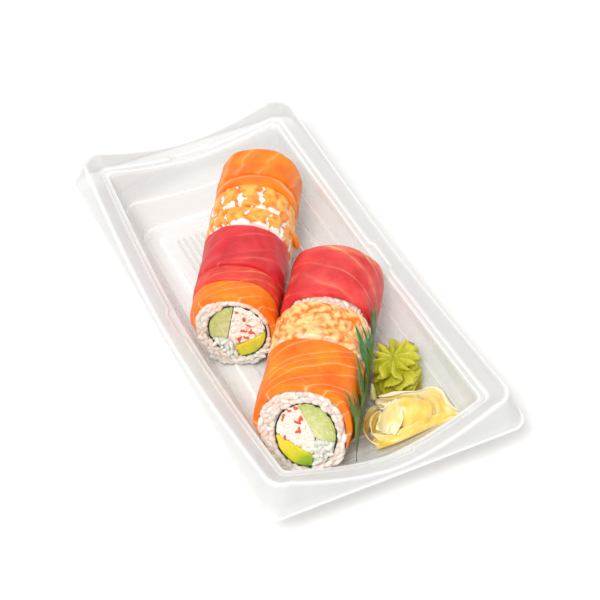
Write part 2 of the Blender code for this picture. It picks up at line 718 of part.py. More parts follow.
def wavy_sheet(name, size, thickness, grid, place, collection, material):
    """A thin slice as a bent sheet with both faces split alike."""
    columns, rows = grid
    bm = bmesh.new()
    sheet = []
    for j in range(rows + 1):
        line = []
        for i in range(columns + 1):
            a = 2 * i / columns - 1
            b = 2 * j / rows - 1
            across = a * math.sqrt(1 - 0.42 * b * b)
            along = b * math.sqrt(1 - 0.42 * a * a)
            line.append(bm.verts.new(place(across * size[0] / 2, along * size[1] / 2, across, along)))
        sheet.append(line)
    for lower, upper in zip(sheet, sheet[1:]):
        bridge(bm, lower, upper, closed=False)
    bmesh.ops.triangulate(bm, faces=bm.faces)
    bmesh.ops.recalc_face_normals(bm, faces=bm.faces)
    mesh = bpy.data.meshes.new(name)
    bm.to_mesh(mesh)
    bm.free()
    mesh.shade_smooth()
    mesh.materials.append(material)
    leaf = bpy.data.objects.new(name, mesh)
    collection.objects.link(leaf)
    shell = leaf.modifiers.new("slice", "SOLIDIFY")
    shell.thickness = thickness
    shell.offset = 0.0
    return leaf


def build_ginger(collection, material):
    """Slices of pickled ginger: one on the floor, two folded over it, one stood up behind."""
    def base(p, q, a, b):
        rise = 9 * MM * max(a, 0.0) ** 3 + 6 * MM * max(-b, 0.0) ** 2
        x, y = clear_of_divider(21.0 * MM + p, -86.6 * MM + q)
        return settle((x, y, BASE_Z + 0.9 * MM + rise + 0.4 * MM * math.sin(3 * a + 2 * b)), 2.1 * MM)

    def fold(p, q, a, b):
        crown = 8 * MM * (1 - a * a * 0.9) * (1 - b * b * 0.55)
        ridge = 0.9 * MM * math.sin(4.2 * a + 1.0) * (1 - b * b)
        climb = 4 * MM * max(a, 0.0) ** 2 + 5 * MM * max(-b, 0.0) ** 2
        x, y = clear_of_divider(19.5 * MM + p, -86.0 * MM + q)
        return settle((x, y, BASE_Z + 3.6 * MM + climb + crown + ridge), 4.4 * MM)

    def crown(p, q, a, b):
        rise = 8 * MM * (1 - a * a * 0.7) * (1 - b * b * 0.6)
        x, y = clear_of_divider(22.0 * MM + p, -84.6 * MM + q)
        climb = 1.5 * MM * max(-b, 0.0) ** 2
        return (x, y, BASE_Z + 8.8 * MM + climb + rise + 0.7 * MM * math.sin(5 * a - 2 * b))

    def stood(p, q, a, b):
        bend = 7.5 * MM * max(0.0, a - 0.2) ** 2
        y = -73.3 * MM - bend + 0.35 * MM * math.sin(5 * a)
        return settle((23.5 * MM + p, y, 9.4 * MM + q + 1.2 * MM * max(a, 0.0)), 1.6 * MM)

    wavy_sheet("ginger_base", (39 * MM, 23 * MM), 1.3 * MM, (8, 5), base, collection, material)
    wavy_sheet("ginger_fold", (32 * MM, 19 * MM), 1.3 * MM, (8, 6), fold, collection, material)
    wavy_sheet("ginger_crown", (25 * MM, 15 * MM), 1.3 * MM, (8, 6), crown, collection, material)
    wavy_sheet("ginger_back", (31 * MM, 11 * MM), 1.1 * MM, (8, 3), stood, collection, material)


def flank_point(roll, v, off, s):
    """A point off the right flank of a roll at a height; below its middle the sheet hangs straight."""
    half = roll["half_height"]
    lift = max(v / half - 1, 0.0)
    u = roll["right"] * (1 - min(lift, 1.0) ** TOP_POWER) ** (1 / TOP_POWER)
    slope_v = lift * 0.9
    slope_u = math.sqrt(1 - slope_v * slope_v)
    return roll_place({**roll, "cut_tilt": 0.0}, u + off * slope_u, v + off * slope_v, s)


def build_divider(collection, material):
    """A sheet of green plastic with cut blades, laid up against the right flank of roll B."""
    bm = bmesh.new()
    faces = []
    for off in (DIVIDER_OFF, DIVIDER_OFF + DIVIDER_SHEET):
        rows = []
        for share in (0.0, 0.35, 0.7, 1.0):
            rows.append([bm.verts.new(settle(flank_point(ROLL_B, mix(low, high, share) * MM, off, s * MM),
                                             0.7 * MM - (off - DIVIDER_OFF) * 0.5))
                         for s, low, high in DIVIDER_CUTS])
        for lower, upper in zip(rows, rows[1:]):
            bridge(bm, lower, upper, closed=False)
        faces.append(rows)
    inner, outer = faces
    bridge(bm, inner[0], outer[0], closed=False)
    bridge(bm, inner[-1], outer[-1], closed=False)
    for end in (0, -1):
        bm.faces.new([row[end] for row in inner] + [row[end] for row in reversed(outer)])
    return add_mesh("leaf_divider", bm, collection, material)


def main():
    clear_scene()
    collection = new_collection("sushi_tray")
    materials = {name: make_material(name) for name in COLOURS}
    build_tray(collection, materials["clear_plastic"])
    for prefix, roll, toppings in (("roll_a", ROLL_A, TOPPINGS_A), ("roll_b", ROLL_B, TOPPINGS_B)):
        build_rice(prefix, roll, toppings, collection, materials["rice"])
        build_nori(prefix, roll, collection, materials["nori"])
        build_fillings(prefix, roll, collection, materials)
        for spec in toppings:
            kind = spec[0].split("_")[0]
            build_topping(prefix + "_" + spec[0], roll, spec, collection, materials[kind])
    build_tuna_scrap(ROLL_B, collection, materials["tuna"])
    build_wasabi(collection, materials["wasabi"])
    build_ginger(collection, materials["ginger"])
    build_divider(collection, materials["green_plastic"])


main()
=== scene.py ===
import math

import bpy
import numpy as np
from mathutils import Matrix, Vector


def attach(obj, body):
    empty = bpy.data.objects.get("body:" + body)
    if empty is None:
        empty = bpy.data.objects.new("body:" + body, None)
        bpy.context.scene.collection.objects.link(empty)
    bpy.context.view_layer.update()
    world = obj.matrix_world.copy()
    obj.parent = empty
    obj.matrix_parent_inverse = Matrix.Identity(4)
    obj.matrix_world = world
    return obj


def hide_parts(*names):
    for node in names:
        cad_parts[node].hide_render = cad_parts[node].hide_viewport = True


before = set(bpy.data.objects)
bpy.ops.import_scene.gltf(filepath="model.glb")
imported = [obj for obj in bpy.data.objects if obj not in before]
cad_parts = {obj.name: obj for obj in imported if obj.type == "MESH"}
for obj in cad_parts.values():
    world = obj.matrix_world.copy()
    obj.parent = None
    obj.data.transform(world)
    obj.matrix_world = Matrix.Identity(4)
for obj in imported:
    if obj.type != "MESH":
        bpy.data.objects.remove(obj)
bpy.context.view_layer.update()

MM = 0.001

# Camera: the photograph's view of the tray
CAMERA_PLACE = (-0.19436, -0.47575, 0.50842)
CAMERA_RIGHT = (0.90753, -0.41902, -0.02835)
CAMERA_UP = (0.30923, 0.62100, 0.72023)
CAMERA_LENS = 93.69
STUDIO_FLOOR_Z = -0.2 * MM

# Tray, the same form as the solid with finer rows: half sizes, then heights at corners, long and short sides
TRAY_HALF = np.array((60, 120)) * MM
FLOOR_HALF = np.array((37.6, 87.6)) * MM
RIM_HALF = np.array((54.8, 114.8)) * MM
RIM_HEIGHTS = np.array((34.5, 23.6, 22.8)) * MM
BEAD_HALF = np.array((47.6, 107.6)) * MM
BEAD_HEIGHTS = np.array((29.8, 21.6, 21.2)) * MM
BROW_HALF = np.array((44.8, 104.8)) * MM
BROW_HEIGHTS = np.array((28.8, 20.2, 19.8)) * MM
SIDE_BOW = 2.9 * MM
NOTCH_LONG = 0.09
NOTCH_SHORT = 0.23
DIP_POWER = 1.67
WALL_POWER = 1.2
SHEET = 0.8 * MM
SHELL = 0.6 * MM
PANEL_RISE = 0.5 * MM
RIB_SPACING = 3.2 * MM
RIB_HALF = 0.55 * MM
RIB_HEIGHT = 0.28 * MM
RIB_SUNK = 0.05 * MM

# Rolls
BASE_Z = 1.8 * MM
WALL_CLEAR = 0.8 * MM
FISH = 3.0 * MM
FISH_INNER = 2.6 * MM
# Fish in millimetres: how thick it is, its greatest thickness with relief, its length round the roll
FISH_THICK = 2.6
FISH_MOST = 3.15
FISH_ARC = 95
# A roll's section: its powers above and below, and a mean power and radius in millimetres for grains and lumps
TOP_POWER = 2.3
BOTTOM_POWER = 2.6
MEAN_POWER = 2.35
MEAN_RADIUS = 19
NORI = 0.42 * MM
CUT_TILT_DEPTH = 34.2 * MM
ROLL_A = {
    "name": "roll_a",
    "seed": 101,
    "bare_span": (47.8, 49.4),
    "front": (-30.1 * MM, -16.2 * MM),
    "turn": math.radians(31.0),
    "length": 103.0 * MM,
    "left": 19.8 * MM,
    "right": 19.6 * MM,
    "half_height": 20.8 * MM,
    "cut_tilt": 0.0,
    "core": (2.1 * MM, 20.7 * MM),
    "core_radii": (12.9 * MM, 15.2 * MM),
    "nori_ends": (math.radians(-92), math.radians(234)),
    "cucumber": ((-2.2 * MM, 17.5 * MM), math.radians(169), 16.2 * MM),
    "avocado": ((6.6 * MM, 15.4 * MM), math.radians(-53), 60 * MM),
    "inner_rice": ((-1.5 * MM, 15.4 * MM), math.radians(200)),
}
ROLL_B = {
    "name": "roll_b",
    "seed": 202,
    "bare_span": (56.2, 62.8),
    "front": (-26.9 * MM, -83.1 * MM),
    "turn": math.radians(35.0),
    "length": 93.0 * MM,
    "left": 21.6 * MM,
    "right": 20.8 * MM,
    "half_height": 20.8 * MM,
    "cut_tilt": math.radians(17.5),
    "core": (1.2 * MM, 19.2 * MM),
    "core_radii": (12.9 * MM, 14.5 * MM),
    "nori_ends": (math.radians(-42), math.radians(291)),
    "cucumber": ((5.6 * MM, 17.8 * MM), math.radians(30), 17.4 * MM),
    "avocado": ((-3.2 * MM, 14.2 * MM), math.radians(-116), 18.2 * MM),
    "inner_rice": ((5.2 * MM, 17.0 * MM), math.radians(-3)),
}
UP = math.radians(90)
DOWN = math.radians(-90)


# Meshes

def make_mesh(name, verts, faces, material, uv=None, tint=None, sharp=None, cross=None):
    """A smooth mesh object; uv, cross (a second uv) and tint are given for each vertex."""
    mesh = bpy.data.meshes.new(name)
    mesh.from_pydata(np.asarray(verts, float).tolist(), [], faces)
    mesh.validate()
    mesh.shade_smooth()
    if sharp is not None:
        mesh.set_sharp_from_angle(angle=math.radians(sharp))
    index = np.empty(len(mesh.loops), int)
    mesh.loops.foreach_get("vertex_index", index)
    for title, places in (("lines", uv), ("cross", cross)):
        if places is not None:
            layer = mesh.uv_layers.new(name=title)
            layer.data.foreach_set("uv", np.asarray(places, float)[index].ravel())
    if tint is not None:
        colours = np.ones((len(verts), 4))
        colours[:, :3] = tint
        attribute = mesh.color_attributes.new("tint", "FLOAT_COLOR", "POINT")
        attribute.data.foreach_set("color", colours.ravel())
    mesh.materials.append(material)
    thing = bpy.data.objects.new(name, mesh)
    bpy.context.scene.collection.objects.link(thing)
    return thing


def grid_faces(rows, columns, offset=0, closed=False, flip=False):
    faces = []
    last = columns if closed else columns - 1
    for i in range(rows - 1):
        for j in range(last):
            k = (j + 1) % columns
            a = offset + i * columns + j
            b = offset + i * columns + k
            face = (a, b, b + columns, a + columns)
            faces.append(face[::-1] if flip else face)
    return faces


def tube_faces(rows, columns, start=0):
    """Faces of a tube of rings, capped at both ends."""
    last = start + (rows - 1) * columns
    caps = [tuple(range(start + columns - 1, start - 1, -1)), tuple(range(last, last + columns))]
    return grid_faces(rows, columns, start, closed=True) + caps


def slab_faces(rows, columns):
    """Faces of a closed slab: a top grid, a bottom grid and the walls between them."""
    size = rows * columns
    faces = grid_faces(rows, columns) + grid_faces(rows, columns, size, flip=True)
    rim = list(range(columns))
    rim += [i * columns + columns - 1 for i in range(1, rows)]
    rim += [(rows - 1) * columns + j for j in range(columns - 2, -1, -1)]
    rim += [i * columns for i in range(rows - 2, 0, -1)]
    for a, b in zip(rim, rim[1:] + rim[:1]):
        faces.append((b, a, a + size, b + size))
    return faces


def slab(name, top, under, material, uv=None, tint=None, cross=None):
    """A closed sheet between two grids of points, with the same maps on both."""
    maps = [None if values is None else np.tile(values.reshape(-1, values.shape[-1]), (2, 1))
            for values in (uv, tint, cross)]
    verts = np.concatenate([top.reshape(-1, 3), under.reshape(-1, 3)])
    return make_mesh(name, verts, slab_faces(*top.shape[:2]), material, maps[0], maps[1], cross=maps[2])


def mix(a, b, t):
    return a + (b - a) * t


def between(first, second, share):
    """From one colour to another, by a share for each place."""
    return first + (second - first) * share[..., None]


def smooth_step(t):
    t = np.clip(t, 0.0, 1.0)
    return t * t * (3 - 2 * t)


def ripples(seed, count, low, high):
    """A smooth random field of two coordinates, about -1 to 1, with waves between two lengths."""
    rng = np.random.default_rng(seed)
    waves = []
    for _ in range(count):
        length = math.exp(rng.uniform(math.log(low), math.log(high)))
        way = rng.uniform(0, 2 * math.pi)
        waves.append((2 * math.pi / length * math.cos(way), 2 * math.pi / length * math.sin(way),
                      rng.uniform(0, 2 * math.pi), length))
    total = math.sqrt(sum(w[3] ** 2 for w in waves) / 2) * 1.6

    def field(x, y):
        return sum(w[3] * np.sin(w[0] * x + w[1] * y + w[2]) for w in waves) / total
    return field


# Materials

def new_material(name):
    material = bpy.data.materials.new(name)
    material.use_nodes = True
    tree = material.node_tree
    return material, tree, tree.nodes["Principled BSDF"]


def add_node(tree, kind, inputs=None, **settings):
    """A node with its settings; inputs are values or sockets, by name or number."""
    node = tree.nodes.new(kind)
    for key, value in settings.items():
        setattr(node, key, value)
    for key, value in (inputs or {}).items():
        set_input(tree, node, key, value)
    return node


def set_input(tree, node, key, value):
    socket = node.inputs[key]
    if isinstance(value, bpy.types.NodeSocket):
        tree.links.new(value, socket)
    else:
        socket.default_value = value


def math_node(tree, operation, first, second=0.0, third=0.0):
    return add_node(tree, "ShaderNodeMath", {0: first, 1: second, 2: third}, operation=operation).outputs[0]


def mix_colours(tree, factor, first, second, blend="MIX"):
    inputs = {0: factor, 6: first, 7: second}
    return add_node(tree, "ShaderNodeMix", inputs, data_type="RGBA", blend_type=blend).outputs[2]


def srgb(red, green, blue):
    """A linear colour from 8-bit screen values."""
    values = [value / 255 for value in (red, green, blue)]
    return tuple(v / 12.92 if v <= 0.04045 else ((v + 0.055) / 1.055) ** 2.4 for v in values) + (1.0,)


def rgb(red, green, blue):
    """The same as an array of three, for colours kept in a mesh."""
    return np.array(srgb(red, green, blue)[:3])


def noise(tree, scale, detail=3.0, roughness=0.55, vector=None):
    place = vector or object_coordinates(tree)
    inputs = {"Scale": scale, "Detail": detail, "Roughness": roughness, "Vector": place}
    return add_node(tree, "ShaderNodeTexNoise", inputs).outputs["Fac"]


def object_coordinates(tree):
    return add_node(tree, "ShaderNodeTexCoord").outputs["Object"]


def ramp(tree, factor, low, high, to_low=0.0, to_high=1.0):
    inputs = {0: factor, 1: low, 2: high, 3: to_low, 4: to_high}
    return add_node(tree, "ShaderNodeMapRange", inputs, interpolation_type="SMOOTHSTEP").outputs[0]


def bump(tree, shader, height, distance, strength=1.0):
    node = add_node(tree, "ShaderNodeBump", {"Height": height, "Distance": distance, "Strength": strength})
    tree.links.new(node.outputs[0], shader.inputs["Normal"])


def tint_of(tree):
    return add_node(tree, "ShaderNodeVertexColor", layer_name="tint").outputs["Color"]


def uv_of(tree, name):
    return add_node(tree, "ShaderNodeUVMap", uv_map=name).outputs[0]


def soften(shader, weight, radius, scale):
    shader.inputs["Subsurface Weight"].default_value = weight
    shader.inputs["Subsurface Radius"].default_value = radius
    shader.inputs["Subsurface Scale"].default_value = scale


def wet(shader, weight, roughness):
    shader.inputs["Coat Weight"].default_value = weight
    shader.inputs["Coat Roughness"].default_value = roughness


def pale_lines(tree, uv, width, wander, cut_off):
    """Thin lines at each whole step of the first coordinate, wandering and fading in and out."""
    parts = add_node(tree, "ShaderNodeSeparateXYZ", {0: uv})
    drift = noise(tree, 1.0, 1.0, 0.5, vector=uv)
    phase = math_node(tree, "MULTIPLY_ADD", drift, wander, parts.outputs[0])
    near = math_node(tree, "PINGPONG", phase, 0.5)
    fade = ramp(tree, noise(tree, 2.1, 3.0, 0.6, vector=uv), cut_off, cut_off + 0.3)
    line = math_node(tree, "MULTIPLY", ramp(tree, near, 0.0, width, 1.0, 0.0), fade)
    halo = math_node(tree, "MULTIPLY", ramp(tree, near, 0.0, width * 4, 1.0, 0.0), fade)
    side = ramp(tree, math_node(tree, "FRACT", phase), 0.0, 1.0)
    return line, halo, side


def lined_flesh(name, base, deep, pale, lines, cross, halo_share, blotch):
    """Raw fish: two tones of flesh under pale lines, with a second, fainter set across them.

    lines and cross: the lines' width, wander, strength and cut-off.
    """
    material, tree, shader = new_material(name)
    uv = uv_of(tree, "lines")
    line, halo, side = pale_lines(tree, uv, lines[0], lines[1], lines[3])
    second, _, _ = pale_lines(tree, uv_of(tree, "cross"), cross[0], cross[1], cross[3])
    flesh = mix_colours(tree, ramp(tree, noise(tree, blotch, 3.0, 0.6), 0.3, 0.72), base, deep)
    for share, strength, colour in ((side, 0.3, deep), (halo, halo_share, pale), (line, lines[2], pale),
                                    (second, cross[2], pale)):
        flesh = mix_colours(tree, math_node(tree, "MULTIPLY", share, strength), flesh, colour)
    flesh = mix_colours(tree, 1.0, flesh, tint_of(tree), "MULTIPLY")
    tree.links.new(flesh, shader.inputs["Base Color"])
    shader.inputs["Roughness"].default_value = 0.45
    shader.inputs["Specular IOR Level"].default_value = 0.3
    soften(shader, 0.2, PINK, 0.003)
    wet(shader, 0.08, 0.2)
    fibre = add_node(tree, "ShaderNodeMapping", {0: uv, 3: (8.0, 2.0, 1.0)}).outputs[0]
    fine = noise(tree, 3.0, 4.0, 0.65, vector=fibre)
    relief = math_node(tree, "MULTIPLY_ADD", fine, 0.8, math_node(tree, "MULTIPLY", line, -0.5))
    bump(tree, shader, relief, 0.00024, 0.8)
    return material


def tinted(name, roughness, scale, depth, weight, radius, coat=0.25, coat_roughness=0.15, speckle=0.0,
           speckle_colour=(1.0, 1.0, 1.0, 1.0), shades=(0.9, 1.06)):
    """A moist food whose colour is in the mesh, with a fine grain in colour and relief."""
    material, tree, shader = new_material(name)
    grain = noise(tree, scale, 4.0, 0.6)
    colour = tint_of(tree)
    if speckle:
        spots = ramp(tree, noise(tree, scale * 1.7, 2.0, 0.5), 0.55, 0.7, 0.0, speckle)
        colour = mix_colours(tree, spots, colour, speckle_colour)
    shade = ramp(tree, grain, 0.3, 0.7, *shades)
    grey = add_node(tree, "ShaderNodeCombineXYZ", {0: shade, 1: shade, 2: shade}).outputs[0]
    colour = mix_colours(tree, 1.0, colour, grey, "MULTIPLY")
    tree.links.new(colour, shader.inputs["Base Color"])
    shader.inputs["Roughness"].default_value = roughness
    soften(shader, weight, radius, 0.003)
    wet(shader, coat, coat_roughness)
    bump(tree, shader, grain, depth)
    return material


def clear_plastic():
    """Thin clear sheet: see-through and milky by turns, glossier at grazing angles, with a painted highlight
    that whitens it at its bends.
    """
    material, tree, shader = new_material("clear_plastic")
    # Painted highlight: the tint's first channel whitens the body and makes the sheet milkier along the bends,
    # standing in for the light they catch.
    painted_highlight = add_node(tree, "ShaderNodeSeparateXYZ", {0: tint_of(tree)}).outputs[0]
    body = mix_colours(tree, painted_highlight, (0.82, 0.825, 0.825, 1.0), (1.0, 1.0, 1.0, 1.0))
    tree.links.new(body, shader.inputs["Base Color"])
    shader.inputs["Roughness"].default_value = 0.08
    shader.inputs["IOR"].default_value = 1.5
    bump(tree, shader, noise(tree, 55.0, 2.0, 0.5), 0.0004, 0.2)
    clear = add_node(tree, "ShaderNodeBsdfTransparent", {0: (0.985, 0.987, 0.987, 1.0)})
    height = add_node(tree, "ShaderNodeSeparateXYZ", {0: object_coordinates(tree)}).outputs[2]

    def add(first, second):
        return math_node(tree, "ADD", first, second)

    def times(first, second):
        return math_node(tree, "MULTIPLY", first, second)

    milky = add(ramp(tree, height, 0.002, 0.012, 0.2, 0.24), ramp(tree, height, 0.018, 0.0225, 0.0, 0.16))
    edge = add_node(tree, "ShaderNodeLayerWeight", {0: 0.3}).outputs["Facing"]
    seen = add(add(milky, times(ramp(tree, edge, 0.2, 1.0), 0.4)), times(painted_highlight, 0.5))
    held = add(ramp(tree, height, 0.003, 0.012, 0.11, 0.16), ramp(tree, height, 0.018, 0.0215, 0.0, 0.5))
    shade = add_node(tree, "ShaderNodeLightPath").outputs["Is Shadow Ray"]
    share = add(times(seen, math_node(tree, "SUBTRACT", 1.0, shade)), times(held, shade))
    blend = add_node(tree, "ShaderNodeMixShader", {0: share, 1: clear.outputs[0], 2: shader.outputs[0]})
    tree.links.new(blend.outputs[0], tree.nodes["Material Output"].inputs[0])
    return material


def sheet_plastic():
    """Green plastic leaf: a smooth sheet with faint lines along its blades."""
    material, tree, shader = new_material("leaf_plastic")
    stretched = add_node(tree, "ShaderNodeMapping", {0: uv_of(tree, "lines"), 3: (2.2, 1.0, 1.0)}).outputs[0]
    streak = noise(tree, 2.2, 3.0, 0.6, vector=stretched)
    colour = mix_colours(tree, ramp(tree, streak, 0.35, 0.68), srgb(2, 92, 18), srgb(48, 154, 56))
    colour = mix_colours(tree, 1.0, colour, tint_of(tree), "MULTIPLY")
    tree.links.new(colour, shader.inputs["Base Color"])
    shader.inputs["Roughness"].default_value = 0.3
    soften(shader, 0.1, (0.3, 1.0, 0.3), 0.002)
    bump(tree, shader, streak, 0.0002, 0.5)
    return material


def seaweed():
    material, tree, shader = new_material("seaweed")
    grain = noise(tree, 900.0, 4.0, 0.65)
    colour = mix_colours(tree, ramp(tree, grain, 0.35, 0.7), srgb(12, 16, 12), srgb(44, 50, 34))
    tree.links.new(colour, shader.inputs["Base Color"])
    shader.inputs["Roughness"].default_value = 0.5
    bump(tree, shader, grain, 0.0002)
    return material


def pale_floor():
    material, tree, shader = new_material("pale_floor")
    colour = mix_colours(tree, noise(tree, 3.0), (0.94, 0.94, 0.94, 1.0), (0.96, 0.96, 0.96, 1.0))
    tree.links.new(colour, shader.inputs["Base Color"])
    shader.inputs["Roughness"].default_value = 0.9
    shader.inputs["Specular IOR Level"].default_value = 0.1
    return material


PINK = (1.0, 0.35, 0.2)
SALMON = lined_flesh("salmon_flesh", srgb(255, 146, 4), srgb(248, 108, 8), srgb(255, 212, 160),
                     (0.05, 0.8, 0.62, 0.22), (0.04, 0.8, 0.3, 0.45), 0.12, 80.0)
SOFT_SALMON = lined_flesh("soft_salmon_flesh", srgb(255, 146, 4), srgb(248, 108, 8), srgb(255, 190, 118),
                          (0.10, 1.0, 0.42, 0.2), (0.05, 0.8, 0.18, 0.5), 0.12, 80.0)
TUNA = lined_flesh("tuna_flesh", srgb(228, 58, 60), srgb(204, 38, 48), srgb(250, 150, 130),
                   (0.05, 0.7, 0.32, 0.35), (0.04, 0.7, 0.22, 0.45), 0.2, 110.0)
SHRIMP = tinted("shrimp_flesh", 0.36, 420.0, 0.00016, 0.05, PINK, 0.12, 0.2)
RICE = tinted("rice_grains", 0.45, 300.0, 0.00005, 0.3, (1.0, 0.8, 0.66), 0.15, shades=(0.97, 1.03))
CRAB = tinted("crab_flesh", 0.5, 600.0, 0.0001, 0.1, (1.0, 0.7, 0.5), 0.1, shades=(0.97, 1.03))
AVOCADO = tinted("avocado_flesh", 0.42, 350.0, 0.00012, 0.25, (0.8, 1.0, 0.2), 0.15, 0.2)
CUCUMBER = tinted("cucumber_flesh", 0.28, 480.0, 0.00025, 0.3, (0.8, 1.0, 0.5), 0.35, 0.1, 0.5,
                  srgb(236, 240, 190))
WASABI = tinted("wasabi_paste", 0.5, 1300.0, 0.0005, 0.25, (0.8, 1.0, 0.3), 0.12, 0.3)
GINGER = tinted("ginger_slices", 0.36, 260.0, 0.00012, 0.22, (1.0, 0.85, 0.35), 0.22, 0.16)
LEAF = sheet_plastic()
SEAWEED = seaweed()
CLEAR = clear_plastic()


# Tray

def side_blend(t):
    return np.minimum(np.abs(t), 1.0) ** DIP_POWER


def side_stops(notch_end, count):
    """Places along a side, closer together at the notch and the corners."""
    even = np.linspace(-0.94, 0.94, count)
    notch = [k * (notch_end + d) for k in (-1, 1) for d in (-0.012, 0.0, 0.012)]
    return sorted(set(np.round(np.concatenate([even[np.abs(np.abs(even) - notch_end) > 0.03], notch]), 4)))


def tray_ring(half, radius, heights, bow=0.0, notch=0.0):
    """One closed row of points round the tray."""
    points = []
    sides = (((1, 0), (0, 1)), ((0, 1), (-1, 0)), ((-1, 0), (0, -1)), ((0, -1), (1, 0)))
    for number, (out, along) in enumerate(sides):
        is_long = number % 2 == 0
        half_out = half[0] if is_long else half[1]
        half_along = (half[1] if is_long else half[0]) - radius
        middle_z = heights[1] if is_long else heights[2]
        notch_end = NOTCH_LONG if is_long else NOTCH_SHORT
        for t in side_stops(notch_end, 33 if is_long else 19):
            blend = side_blend(t)
            reach = half_out + bow * (1 - blend)
            reach += notch * smooth_step((notch_end + 0.006 - abs(t)) / 0.012)
            z = mix(middle_z, heights[0], blend)
            points.append((out[0] * reach + along[0] * t * half_along,
                           out[1] * reach + along[1] * t * half_along, z))
        for angle in np.linspace(0, math.pi / 2, 9):
            reach = half_out - radius + radius * math.cos(angle)
            run = half_along + radius * math.sin(angle)
            points.append((out[0] * reach + along[0] * run, out[1] * reach + along[1] * run, heights[0]))
    return points


def ring_rows(half, heights, bow, table):
    """Rows at a bend; table: inset, corner radius, drop and notch in millimetres, and the painted highlight at
    the bend.
    """
    return [(tray_ring(half - inset * MM, radius * MM, heights - drop * MM, bow, notch * MM), painted_light)
            for inset, radius, drop, notch, painted_light in table]


def tray_rows():
    """Rows of the upper surface from the flange's edge in to the floor's middle, each with the painted
    highlight at its bend.
    """
    hem = np.full(3, 21.5 * MM)
    rows = ring_rows(TRAY_HALF, hem, 0.0, ((0, 7.5, 0.5, 0, 0.5), (0.25, 7.3, 0.2, 0, 1.0),
                                           (1.2, 6.6, 0.15, 0, 0.3), (1.7, 6.9, 0, 0, 0.2)))
    for rise in (0.35, 0.7, 0.93):
        ring = tray_ring(mix(TRAY_HALF - 1.7 * MM, RIM_HALF + 0.6 * MM, rise), mix(6.9, 8.6, rise) * MM,
                         mix(hem, RIM_HEIGHTS - 0.8 * MM, rise), SIDE_BOW * rise)
        rows.append((ring, 0.0))
    rows += ring_rows(RIM_HALF, RIM_HEIGHTS, SIDE_BOW, ((-0.35, 8.5, 0.3, 0, 0.3), (0.1, 8.3, 0.03, 0, 1.0),
                                                        (0.8, 8.0, 0, 0, 0.35), (1.7, 7.6, 0.4, 0, 0.05)))
    for share in (0.4, 0.8):
        ring = tray_ring(mix(RIM_HALF - 1.7 * MM, BEAD_HALF, share), mix(7.6, 4.5, share) * MM,
                         mix(RIM_HEIGHTS - 0.4 * MM, BEAD_HEIGHTS, share), SIDE_BOW, 1.7 * MM * share)
        rows.append((ring, 0.0))
    bead = ((0, 4.5, 0, 1.7, 0.6), (0.5, 4.3, 0.25, 1.7, 1.0), (0.7, 4.2, 0.8, 1.6, 0.2),
            (1.1, 4.1, 1.0, 1.2, 0.0))
    brow = ((-0.7, 4.0, -0.1, 0, 0.2), (-0.15, 3.9, -0.05, 0, 1.0))
    rows += ring_rows(BEAD_HALF, BEAD_HEIGHTS, SIDE_BOW, bead)
    rows += ring_rows(BROW_HALF, BROW_HEIGHTS, SIDE_BOW, brow)
    for depth, painted_light in ((0.02, 0.5), (0.08, 0.1), (0.2, 0.0), (0.34, 0.0), (0.47, 0.1), (0.49, 0.7),
                        (0.51, 0.7), (0.53, 0.1), (0.66, 0.0), (0.8, 0.0), (0.9, 0.0), (0.96, 0.3),
                        (0.99, 0.9), (1.0, 0.9)):
        step = 0.35 * MM * smooth_step((depth - 0.48) / 0.04)
        half = mix(BROW_HALF, FLOOR_HALF, depth) - step * (1 - depth)
        heights = SHEET + (BROW_HEIGHTS - SHEET) * (1 - depth) ** WALL_POWER
        rows.append((tray_ring(half, mix(3.8, 9.0, depth) * MM, heights, SIDE_BOW * (1 - depth)), painted_light))
    for inset, rise, radius, painted_light in ((0.6, 0, 8.6, 0.3), (4.0, 0, 6.2, 0.0), (7.0, 0, 4.3, 0.1),
                                      (7.5, 0, 4.0, 0.8), (7.8, 0.25, 3.7, 0.9), (8.1, 0.46, 3.5, 0.9),
                                      (8.5, 0.5, 3.3, 0.3), (9.5, 0.5, 3.0, 0.0), (12.4, 0.5, 2.0, 0.0)):
        rows.append((tray_ring(FLOOR_HALF - inset * MM, radius * MM, np.full(3, SHEET + rise * MM)), painted_light))
    return rows


def build_tray():
    rows = tray_rows()
    columns = len(rows[0][0])
    verts = np.array([ring for ring, _ in rows]).reshape(-1, 3)
    painted_light = np.repeat([painted_light for _, painted_light in rows], columns)
    faces = grid_faces(len(rows), columns, closed=True)
    faces.append(tuple((len(rows) - 1) * columns + j for j in range(columns)))
    # The rows' painted highlight goes into the tint.
    shell = make_mesh("tray_shell", verts, faces, CLEAR, tint=np.stack([painted_light] * 3, -1))
    solid = shell.modifiers.new("sheet", "SOLIDIFY")
    solid.thickness = SHELL
    solid.offset = -1.0
    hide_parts("tray")
    return shell


def build_floor_ribs():
    """Low ribs along the floor's panel."""
    verts = []
    faces = []
    half_length = FLOOR_HALF[1] - 13.5 * MM
    angles = np.linspace(0, math.pi, 7)
    for x in np.arange(-7, 8) * RIB_SPACING:
        faces += tube_faces(4, len(angles), len(verts))
        for y in (-half_length, -half_length + 1.2 * MM, half_length - 1.2 * MM, half_length):
            rise = RIB_HEIGHT if abs(y) < half_length else RIB_SUNK
            verts += [(x + RIB_HALF * math.cos(a), y, SHEET + PANEL_RISE - RIB_SUNK + rise * math.sin(a))
                      for a in angles]
    # Painted highlight: the ribs carry a share of 0.35 of the white painted on the bends.
    return make_mesh("floor_ribs", verts, faces, CLEAR, tint=np.full((len(verts), 3), 0.35))


# Rolls

def roll_place(roll, u, v, s):
    lean = math.tan(roll["cut_tilt"]) * (v - roll["half_height"]) * np.maximum(0.0, 1 - s / CUT_TILT_DEPTH)
    along = s + lean
    turn = roll["turn"]
    x = roll["front"][0] + u * math.cos(turn) + along * math.sin(turn)
    y = roll["front"][1] - u * math.sin(turn) + along * math.cos(turn)
    return np.stack(np.broadcast_arrays(x, y, BASE_Z + v), -1)


